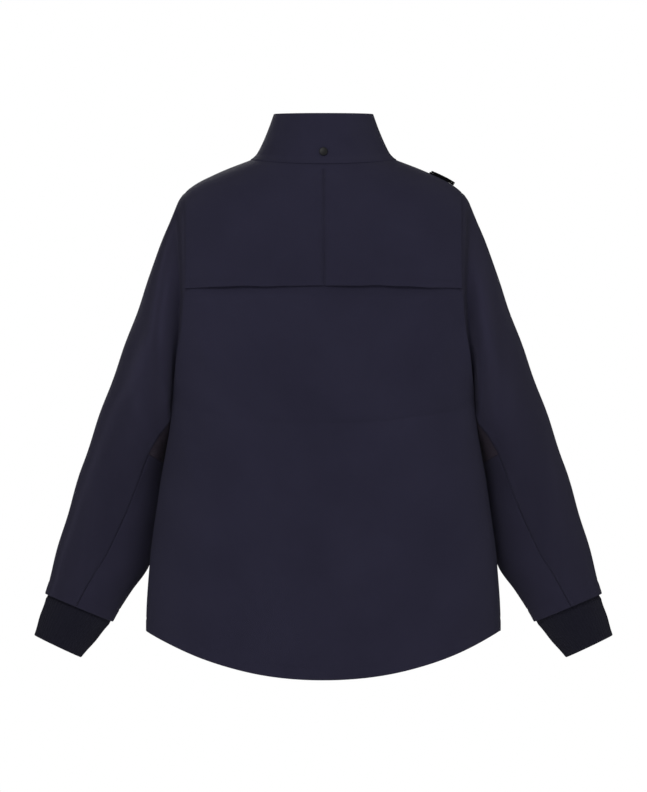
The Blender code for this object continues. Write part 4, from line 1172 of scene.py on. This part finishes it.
def sleeve_point(t, turn):
    """Point on the left sleeve: t runs from armhole to hem, and turn 0 is the outer edge."""
    along = (1 + np.cos(turn)) / 2
    x, z = mix(INNER_X(t), OUTER_X(t), along), mix(INNER_Z(t), OUTER_Z(t), along)
    arm_z = mix(UNDERARM_Z, -SHOULDER_DROP, along)
    opening = half_depth(arm_z) * oval_share(np.clip(arm_edge(arm_z) / half_width(arm_z), 0, 1))
    free = ease(t / 0.38)
    x = x + (1 - free) * (arm_edge(arm_z) - mix(CHEST_HALF, SHOULDER_HALF, along))
    armhole_y = middle(arm_z) + np.sign(np.sin(turn)) * opening
    y = mix(armhole_y, SLEEVE_Y(t) + SLEEVE_DEPTH(t) * np.sin(turn), free)
    x = x - ARM_HUG * ease(t / 0.04) * (1 - ease((t - 0.25) / 0.15)) * (1 - along) ** 2
    x = np.maximum(x, body_reach(y, z) + SLEEVE_CLEAR * ease(t / 0.05))
    face, beside = np.sign(np.sin(turn)), ease(np.abs(np.sin(turn)) / 0.6)
    y = y - face * ARM_DIP * ease(t / 0.05) * (1 - ease((t - 0.05) / 0.20)) * beside
    edge_x = arm_edge(arm_z) - ARM_TUCK * beside
    edge_y = half_depth(arm_z) * oval_share(np.clip(edge_x / half_width(arm_z), 0, 1)) - ARM_UNDER * beside
    start_x = edge_x - ARM_UNDER * beside
    tucked = 1 - ease(t / mix(0.005, 0.022, beside))
    x, y = mix(x, start_x, tucked), mix(y, middle(arm_z) + face * edge_y, tucked)
    full = HEAD_FULLNESS * (1 - beside) * (1 - ease(t / 0.10)) * mix(0.3, 1.0, ease(t / 0.03))
    z = z - tucked * ARM_UNDER * np.cos(turn) * beside
    return together(x + full, y, z + 0.6 * full * np.sign(np.cos(turn)))


def sleeve_core_at(side):
    def core(grid):
        t = np.linspace(0, 1, 101)
        height = (INNER_Z(t) + OUTER_Z(t)) / 2
        at = np.interp(-grid[..., 2], -height, t)
        x = (INNER_X(at) + OUTER_X(at)) / 2 * side
        return together(x, SLEEVE_Y(at), grid[..., 2])

    return core


def arm_surface(side, first, last, t_low=0.0, t_high=1.0):
    def surface(u, v):
        t = mix(t_low, t_high, v)
        turn = mix(first(t), last(t), u)
        grid = sleeve_point(t, turn)
        grid[..., 0] *= side
        return grid

    return surface


def over_first(t):
    return -FRONT_SEAM(t)


def under_last(t):
    return 2 * math.pi - FRONT_SEAM(t)


def arm_relief(side, seams):
    """Soft creases round the elbow and below the armhole, fading out at the seams."""

    def relief(u, v, grid):
        x, z = grid[..., 0] * side, grid[..., 2]
        soft = folds(x, z, [
            (0.225, -0.400, 0.300, -0.385, 0.007, 0.0016), (0.230, -0.440, 0.315, -0.440, 0.008, 0.0015),
            (0.240, -0.350, 0.290, -0.300, 0.010, 0.0014), (0.215, -0.200, 0.262, -0.290, 0.012, 0.0015),
            (0.270, -0.560, 0.370, -0.545, 0.010, 0.0010), (0.300, -0.500, 0.350, -0.420, 0.012, 0.0010),
            (0.300, -0.600, 0.385, -0.590, 0.006, 0.0009),
        ])
        sway = 0.0007 * np.sin(z * 75 + x * 30) * ease((-0.12 - z) / 0.1)
        return (soft + sway) * np.clip(v / 0.06, 0, 1) * np.clip((1 - v) / 0.05, 0, 1) * seams(u)

    return relief


def fade_both(u):
    return np.clip(u / 0.05, 0, 1) * np.clip((1 - u) / 0.05, 0, 1)


WRIST_FOLD = 0.020
SEAM_WELT = 0.0070  # the rear seam is lapped and stitched this far from its edge


def wrist_groove(u, v, grid):
    run = run_length(grid, 1)
    rest = run[:, -1:] - run
    return -0.0005 * bump(rest - WRIST_FOLD, 0.0012) + 0.0003 * ease((WRIST_FOLD - rest) / 0.004)


def seam_groove(inner):
    """The wrist's fold line, and the raised welt along the rear seam."""

    def groove(u, v, grid):
        run = run_length(grid, 0)
        away = run[-1:] - run if inner else run
        welt = 0.0009 * ease(away / 0.0008) * (1 - ease((away - 0.0066) / 0.0012)) * (1.0 if inner else 0.2)
        return wrist_groove(u, v, grid) + welt - 0.0005 * bump(away - SEAM_WELT, 0.0010)

    return groove


def elbow_bend(side):
    name = "left" if side > 0 else "right"
    joint = joints[f"elbow_{name}_bend"]
    wide, rise = OUTER_X(ELBOW) - INNER_X(ELBOW), OUTER_Z(ELBOW) - INNER_Z(ELBOW)
    across = Vector((side * wide, 0, rise)).normalized()
    down = Vector((-across.z * side, 0, -abs(across.x))).normalized()
    down = Vector((abs(down.x) * side, 0, down.z))
    pivot = Vector(joint["pos_m"])
    return tuple(pivot - down * 0.055), tuple(pivot + down * 0.055)


ELBOW_BEND = {name: elbow_bend(side) for name, side in SIDES}
print("elbow bends between", ELBOW_BEND["left"])

# %% [markdown]
# ## Over-arm, under-arm and gusset
# Over-arm and under-arm are the same surface between different seam lines, and the mesh takes the top of the
# under-arm. A lapped seam has two layers, so one side of the rear seam is a little raised and a row of
# stitches runs beside it. All of them are cut from that one surface, so the seams stay shut.

# %% Over-arm, under-arm and gusset
for name, side in SIDES:
    over = Panel(f"over_arm_cloth_{name}", spaced(110, 0.4), spaced(150, 0.66),
                 arm_surface(side, over_first, REAR_SEAM), sleeve_core_at(side), SLEEVE,
                 relief=arm_relief(side, fade_both), groove=seam_groove(True))
    bent(over.obj, "sleeve_fabric", f"elbow_{name}_bend", *ELBOW_BEND[name],
         f"sleeve_upper_{name}", f"sleeve_lower_{name}")
    over.sheet()
    under = Panel(f"under_arm_cloth_{name}", spaced(50, 0.12), spaced(90, 0.3),
                  arm_surface(side, REAR_SEAM, under_last, GUSSET_SHARE, 1.0), sleeve_core_at(side), SLEEVE,
                  relief=arm_relief(side, fade_both), groove=seam_groove(False))
    bent(under.obj, "sleeve_fabric", f"elbow_{name}_bend", *ELBOW_BEND[name],
         f"sleeve_upper_under_{name}", f"sleeve_lower_under_{name}")
    under.sheet()
    net = Panel(f"underarm_net_{name}", spaced(30, 0.08), spaced(50, 0.08),
                arm_surface(side, REAR_SEAM, under_last, 0.0, GUSSET_SHARE), sleeve_core_at(side),
                NET, 0.0012, 0.0005)
    bent(net.obj, "mesh_fabric", f"elbow_{name}_bend", *ELBOW_BEND[name], f"underarm_mesh_{name}")
    net.sheet()
    line = np.linspace(0.16, 0.985, 120)
    wrist_v = 1 - WRIST_FOLD / 0.66
    wide = np.interp(line, over.v, np.linalg.norm(np.diff(over.outer, axis=0), axis=-1).sum(0))
    rear_u = 1 - (SEAM_WELT - 0.0012) / wide
    rows = [(rear_u, line), (np.linspace(0.01, 0.99, 90), both(wrist_v, 90))]
    sewn = stitched(f"over_arm_stitches_{name}", over, rows)
    bent(sewn, "sleeve_fabric", f"elbow_{name}_bend", *ELBOW_BEND[name])

# %% [markdown]
# ## Cuffs
# A rib-knit cuff is a double tube with upright ribs. The ribs are real shape here, a wave round the tube,
# because they show on the outline of the cuff's end, and the loops on each rib are left to the finish.
# The sleeve's hem is a little wider, so the knit is gathered where it's sewn in.

# %% Cuffs
RIBS = 58
CUFF_TOP_IN = Vector((CHEST_HALF + 0.0883, -0.132, UNDERARM_Z - 0.3116))
CUFF_TOP_OUT = Vector((SHOULDER_HALF + 0.1985, -0.132, -SHOULDER_DROP - 0.5753))
CUFF_END_IN = Vector((CHEST_HALF + 0.1302, -0.139, UNDERARM_Z - 0.3612))
CUFF_END_OUT = Vector((SHOULDER_HALF + 0.2162, -0.139, -SHOULDER_DROP - 0.6304))
CUFF_DEPTH = (0.0375, 0.0330)
TOP_MID, END_MID = (CUFF_TOP_IN + CUFF_TOP_OUT) / 2, (CUFF_END_IN + CUFF_END_OUT) / 2
TOP_ARM, END_ARM = (CUFF_TOP_OUT - CUFF_TOP_IN) / 2, (CUFF_END_OUT - CUFF_END_IN) / 2
CUFF_UP = -0.10  # share of the cuff's length that runs up inside the sleeve


def cuff_axis(share):
    return mix(np.array(TOP_MID), np.array(END_MID), share[..., None])


def cuff_surface(side):
    def surface(u, v):
        turn, share = u * 2 * math.pi, mix(CUFF_UP, 1.0, v)
        shrink = 1 - 0.035 * ease((0.06 - share) / 0.12) - 0.010 * np.sin(share * 9)
        rib = 0.00038 * np.cos(turn * RIBS) * np.clip((1 - share) / 0.03, 0.25, 1)
        arm = mix(np.array(TOP_ARM), np.array(END_ARM), share[..., None])
        reach = np.linalg.norm(arm, axis=-1)
        grid = cuff_axis(share) + arm * (np.cos(turn) * (shrink + rib / reach))[..., None]
        grid[..., 1] += (mix(*CUFF_DEPTH, share) * shrink + rib) * np.sin(turn)
        grid[..., 0] *= side
        return grid

    return surface


def cuff_core(side):
    def core(grid):
        rows = np.linspace(CUFF_UP, 1.0, grid.shape[1])[None, :].repeat(grid.shape[0], 0)
        centre = cuff_axis(rows)
        centre[..., 0] *= side
        return centre

    return core


for name, side in SIDES:
    cuff = Panel(f"cuff_knit_{name}", np.linspace(0, 1, RIBS * 6 + 1), spaced(44, 0.06, radius=0.0012),
                 cuff_surface(side), cuff_core(side), KNIT, 0.0024, wrap=True)
    dressed(cuff.obj, "rib_knit", f"forearm_{name}", f"cuff_{name}")

# %% [markdown]
# ## Zip
# Each chain is a row of moulded teeth clamped on a woven tape. One tooth is a small block, pinched towards
# its head in edit mode and bevelled, and the chain repeats it. The slider is a hollow wedge with a
# pull, and it keeps to the plane of the zip so that it can run the whole way down.

# %% Zip teeth and tapes
ZIP_UP = Vector((0, FRONT_LEAN, 1)).normalized()
ZIP_OUT = Vector((0, -1, FRONT_LEAN)).normalized()
ZIP_X = Vector((1, 0, 0))
TOOTH_PITCH = 0.0030


def edited(size, shape, bevel=0.0, segments=2, subdivide=0):
    """A block scaled and cut in edit mode, whose points are then moved by shape, with rounded edges."""
    bpy.ops.object.select_all(action="DESELECT")
    bpy.ops.mesh.primitive_cube_add(size=1)
    obj = bpy.context.object
    bpy.ops.object.mode_set(mode="EDIT")
    bpy.ops.mesh.select_all(action="SELECT")
    bpy.ops.transform.resize(value=size)
    if subdivide:
        bpy.ops.mesh.subdivide(number_cuts=subdivide)
    bpy.ops.object.mode_set(mode="OBJECT")
    if shape:
        for vertex in obj.data.vertices:
            vertex.co = shape(vertex.co.copy())
    if bevel:
        soft = obj.modifiers.new("edges", "BEVEL")
        soft.width, soft.segments, soft.limit_method = bevel, segments, "ANGLE"
        only(obj)
        bpy.ops.object.modifier_apply(modifier="edges")
    obj.data.shade_smooth()
    return obj


def shape_of(obj):
    """Points and faces of an object that was only a pattern, which is then removed."""
    points = np.array([v.co for v in obj.data.vertices])
    faces = [tuple(p.vertices) for p in obj.data.polygons]
    bpy.data.objects.remove(obj)
    return points, faces


def tooth_shape(point):
    if point.x < 0:
        point.z *= 0.72
        point.y *= 0.9
    return point


TOOTH = shape_of(edited((0.0028, 0.0024, 0.0019), tooth_shape, 0.00035, 1))


def zip_row(name, side, body):
    """Teeth along one chain, in the place of its plain CAD bar."""
    low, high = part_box(f"zip_teeth_{name}")
    count = int((high.z - low.z) / TOOTH_PITCH)
    centre = (low + high) / 2
    run = (np.arange(count) - (count - 1) / 2 + side * 0.25) * TOOTH_PITCH
    place = np.array(centre)[None, :] + run[:, None] * np.array(ZIP_UP)[None, :]
    axes = [np.tile(np.array(v), (count, 1)) for v in (ZIP_X * side, -ZIP_OUT, ZIP_UP)]
    if side < 0:
        axes[1] = -axes[1]
    row = repeated(f"zip_chain_{name}", *TOOTH, place, axes, PLASTIC)
    dressed(row, "zip_plastic", body, f"zip_teeth_{name}")
    print(row.name, count, "teeth")


def strip(name, node, finish, slot, body, ripple=0.0):
    """A woven strip in the place of a CAD block, with a corded edge and a map for its weave."""
    low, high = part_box(node)
    foot_y, head_y = front_line(low.z), front_line(high.z)
    depth = float((foot_y + head_y) / 2 - (low.y + high.y) / 2)

    def surface(u, v):
        z = mix(low.z, high.z, v)
        return together(mix(low.x, high.x, u), front_line(z) - depth, z)

    def core(grid):
        return grid + np.array([0, 1.0, 0])

    def cord(u, v, grid):
        near = np.minimum(np.abs(grid[..., 0] - low.x), np.abs(grid[..., 0] - high.x))
        return ripple * bump(near - 0.0012, 0.0007)

    width = high.x - low.x
    made = Panel(name, spaced(16, width, radius=0.0003), spaced(60, high.z - low.z, radius=0.0003), surface,
                 core, finish, 0.0007, -0.0004, groove=cord)
    dressed(made.obj, slot, body, node)
    return made


for name, side in SIDES:
    zip_row(name, side, f"front_{name}")
    strip(f"zip_ribbon_{name}", f"zip_tape_{name}", TAPE, "zip_tape", f"front_{name}", 0.0003)

# %% [markdown]
# ## Slider, pull and box
# The slider is two plates joined by a web, with a tongue hanging from its bridge, and the box at the foot
# stops it. Each starts as a cube whose edges are cut and bevelled in edit mode, and whose corners are then
# moved by a short rule. A formula for the whole surface would be harder, since it's all flat faces.

# %% Slider, pull and box


def placed(obj, name, centre, frame_axes, finish, slot, body, *nodes):
    """Turns a finished hard piece into its place, which goes into its mesh, and puts it on its body."""
    turn = Matrix(frame_axes).transposed().to_4x4()
    obj.data.transform(Matrix.Translation(centre) @ turn)
    obj.name = obj.data.name = name
    obj.data.materials.clear()
    obj.data.materials.append(finish)
    return dressed(obj, slot, body, *nodes)


def middle_of(node):
    low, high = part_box(node)
    return (low + high) / 2


def slider_shape(point):
    """The two plates narrow towards the foot, where the chains run in side by side."""
    share = (point.z + 0.006) / 0.012
    point.x *= 0.74 + 0.26 * share - 0.05 * math.cos(share * math.pi)
    return point


ZIP_FRAME = (ZIP_X, -ZIP_OUT, ZIP_UP)
for part_name, out in (("front", 1), ("back", -1)):
    plate = edited((0.0108, 0.0012, 0.0116), slider_shape, 0.0004, 2, subdivide=3)
    placed(plate, f"slider_plate_{part_name}", middle_of("zip_slider") + ZIP_OUT * (out * 0.0025), ZIP_FRAME,
           METAL, "black_metal", "zip_slider_body", *(["zip_slider"] if out > 0 else []))
web = edited((0.0006, 0.0040, 0.0100), None, 0.0001, 1)
placed(web, "slider_web", middle_of("zip_slider"), ZIP_FRAME, METAL, "black_metal", "zip_slider_body")


def pull_shape(point):
    """A flat tongue, waisted below its eye and round at its foot."""
    share = (point.z + 0.012) / 0.024
    point.x *= 0.80 + 0.22 * math.sin(share * math.pi * 0.9 + 0.35) - 0.30 * max(0.0, 0.12 - share) / 0.12
    return point


pull = edited((0.0058, 0.0013, 0.0238), pull_shape, 0.0004, 2, subdivide=5)
placed(pull, "zip_tongue", middle_of("zip_pull"), ZIP_FRAME, METAL, "black_metal", "zip_pull_body",
       "zip_pull")
stop = edited((0.0098, 0.0042, 0.0098), None, 0.0007, 3)
placed(stop, "zip_stop_box", middle_of("zip_box"), ZIP_FRAME, PLASTIC, "zip_plastic", "front_left", "zip_box")

# %% [markdown]
# ## Hand pockets
# Each front has a slanting hand pocket with a hidden zip between two lips of cloth. The lips are one panel
# that bulges on both sides of a groove. Its slider and a short webbing pull run on top, and the bag hangs
# behind the front. The frame gives the pocket's line and the way its slider runs.

# %% Pockets
for name, side in SIDES:
    slide, swing = joints[f"pocket_{name}_slide"], joints[f"pocket_{name}_pull_swing"]
    down = Vector(slide["axis"]).normalized()
    flat = Vector(swing["axis"]).normalized()
    out = flat.cross(down)
    if out.y > 0:
        out = -out
    across = out.cross(down).normalized()
    pocket_frame = (across, out, across.cross(out))
    low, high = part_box(f"pocket_zip_{name}")
    centre, length = (low + high) / 2, (high - low).length * 0.985

    def lips_surface(u, v, centre=centre, across=across, down=down, length=length):
        base = np.array(centre) + np.array(across) * ((u - 0.5) * 0.0125)[..., None]
        return base + np.array(down) * ((v - 0.5) * (length + 0.006))[..., None]

    def lips_core(grid, out=out):
        return grid - np.array(out)

    def lips_groove(u, v, grid):
        return 0.0006 * np.abs(np.sin(u * 2 * math.pi)) - 0.0016 * bump(u - 0.5, 0.035)

    lips = Panel(f"pocket_lips_{name}", spaced(40, 0.0125), spaced(60, 0.16), lips_surface, lips_core, SHELL,
                 0.0018, -0.0002, groove=lips_groove)
    dressed(lips.obj, "shell_fabric", "jacket_body", f"pocket_zip_{name}")
    runner = edited((0.0058, 0.0020, 0.0088), slider_shape, 0.0005, 2, subdivide=2)
    placed(runner, f"pocket_runner_{name}", middle_of(f"pocket_slider_{name}"), pocket_frame, METAL,
           "black_metal", f"pocket_slider_body_{name}", f"pocket_slider_{name}")
    tongue = edited((0.0048, 0.0012, 0.0196), pull_shape, 0.0003, 2, subdivide=4)
    placed(tongue, f"pocket_tongue_{name}", middle_of(f"pocket_pull_{name}"), pocket_frame, WEBBING,
           "black_webbing", f"pocket_pull_body_{name}", f"pocket_pull_{name}")

    def bag_surface(u, v, side=side):
        grid = turned(math.pi - math.radians(44) - (u - 0.5) * math.radians(34), mix(-0.61, -0.42, v))
        grid[..., 0] *= side
        return grid

    bag = Panel(f"pocket_pouch_{name}", spaced(24, 0.1), spaced(36, 0.19), bag_surface, body_core, LINING,
                0.0009, 0.0058, relief=lambda u, v, grid: -0.002 * np.sin(u * math.pi) * np.sin(v * math.pi))
    dressed(bag.obj, "lining_fabric", "jacket_body", f"pocket_bag_{name}")
    bag.sheet()

# %% [markdown]
# ## Snap, shoulder tab and hanger loop
# The snap is a turned cap: a disc whose top is inset and pressed in to leave a rim, then rounded. The tab on
# the right shoulder is two short layers of webbing, sewn down at both ends. The loop is a strap
# bowed away from the neck, so that a hook fits behind it.

# %% Snap
snap_mount = next(m for m in frame["record"]["mounts"] if m["name"] == "snap_face")
snap_out = Vector(snap_mount["axis"]).normalized()


def turned_disc(radius, length, inset, push, segments=48):
    """A disc with its outer face inset and pushed along its axis, and its edges rounded."""
    bpy.ops.object.select_all(action="DESELECT")
    bpy.ops.mesh.primitive_cylinder_add(vertices=segments, radius=radius, depth=length)
    obj = bpy.context.object
    for polygon in obj.data.polygons:
        polygon.select = polygon.normal.z > 0.9
    bpy.ops.object.mode_set(mode="EDIT")
    bpy.ops.mesh.select_mode(type="FACE")
    bpy.ops.mesh.inset(thickness=inset, depth=0.0)
    bpy.ops.mesh.inset(thickness=inset * 0.5, depth=push)
    bpy.ops.mesh.inset(thickness=inset * 1.3, depth=-push * 0.4)
    bpy.ops.object.mode_set(mode="OBJECT")
    soft = obj.modifiers.new("rim", "BEVEL")
    soft.width, soft.segments, soft.limit_method = length * 0.22, 3, "ANGLE"
    only(obj)
    bpy.ops.object.modifier_apply(modifier="rim")
    obj.data.shade_smooth()
    return obj


def axes_along(out):
    side = Vector((1, 0, 0))
    return side, out.cross(side).normalized(), out


cap = turned_disc(0.0062, 0.0024, 0.0011, -0.0005)
placed(cap, "snap_button", Vector(snap_mount["pos_m"]) - snap_out * 0.0012, axes_along(snap_out), METAL,
       "black_metal", "jacket_body", "snap_cap")
post = turned_disc(0.0016, 0.0028, 0.0004, 0.0001, 24)
placed(post, "snap_rivet", middle_of("snap_post"), axes_along(snap_out), METAL, "black_metal", "jacket_body",
       "snap_post")
ring = turned_disc(0.0048, 0.0008, 0.0012, -0.0002)
placed(ring, "snap_washer", middle_of("snap_back"), axes_along(-snap_out), METAL, "black_metal",
       "jacket_body", "snap_back")

# %% [markdown]
# ## Shoulder tab
# A short black webbing tab is folded double and sewn on the shoulder's ridge. It follows the shoulder's
# slope and bends over the ridge, so its layers are formulas on the same body surface and a small distance
# above it. Only its stitched ends touch the cloth, and the middle stands a little off.

# %% Shoulder tab
TAB_ACROSS = (-0.0100, 0.0100)
tab_fall = np.linspace(0.0, -SHOULDER_DROP, 80)


def shoulder_point(x):
    """Place and way out of the shoulder's ridge at this far from the middle, on the right."""
    z = np.interp(x, half_width(tab_fall), tab_fall)
    beyond = np.interp(x + 0.001, half_width(tab_fall), tab_fall)
    out = together(z - beyond, 0.0 * z, 0.001 + 0.0 * z)
    return z, out / np.linalg.norm(out, axis=-1, keepdims=True) * np.array([-1.0, 1.0, 1.0])


def tab_layer(name, node, length, thickness, lift):
    """A short piece of webbing bent over the shoulder, thinner where its two ends are sewn down."""
    centre = middle_of(node)

    def surface(u, v):
        x = -centre.x + (v - 0.5) * length * 0.93
        z, out = shoulder_point(x)
        ridge = together(-x, centre.y + mix(*TAB_ACROSS, u), z)
        return ridge + out * (lift + thickness)

    def rows(u, v, grid):
        ends = bump(v - 0.12, 0.015) + bump(v - 0.88, 0.015)
        return -0.0003 * ends - 0.0002 * bump(np.abs(u - 0.5) - 0.40, 0.03)

    half = thickness / 2
    made = Panel(name, spaced(40, 0.02, radius=half), spaced(60, length, radius=half), surface,
                 lambda grid: grid - np.array([0, 0, 1.0]), WEBBING, thickness, groove=rows)
    dressed(made.obj, "black_webbing", "jacket_body", node)
    return made


tab_layer("tab_under", "shoulder_tab_base", 0.0370, 0.0022, 0.0002)
tab_top = tab_layer("tab_over", "shoulder_tab_loop", 0.0350, 0.0022, 0.0026)
tab_rows = [(np.linspace(0.12, 0.88, 20), both(q, 20)) for q in (0.12, 0.88)]
tab_sewn = stitched("tab_stitches", tab_top, tab_rows, 0.003)
dressed(tab_sewn, "black_webbing", "jacket_body")

# %% [markdown]
# ## Hanger loop
# The jacket hangs from a narrow webbing loop inside the collar, sewn down at both ends. It's drawn as a
# strip along a soft arc, which is simpler than a curve object and keeps its thickness even all the way.

# %% Hanger loop
loop_low, loop_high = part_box("hanger_loop")


def strap_surface(u, v):
    share = 2 * v - 1
    y = np.minimum(mix(loop_high.y, 0.0, 1 - share**4), 0.0066)
    return together(share * loop_high.x, y, mix(loop_low.z, loop_high.z, u))


strap = Panel("hanger_strap", spaced(16, 0.008, radius=0.0006), spaced(60, 0.062, radius=0.0006),
              strap_surface, lambda grid: grid - np.array([0, 1.0, 0]), WEBBING, 0.0013)
dressed(strap.obj, "black_webbing", "jacket_body", "hanger_loop")
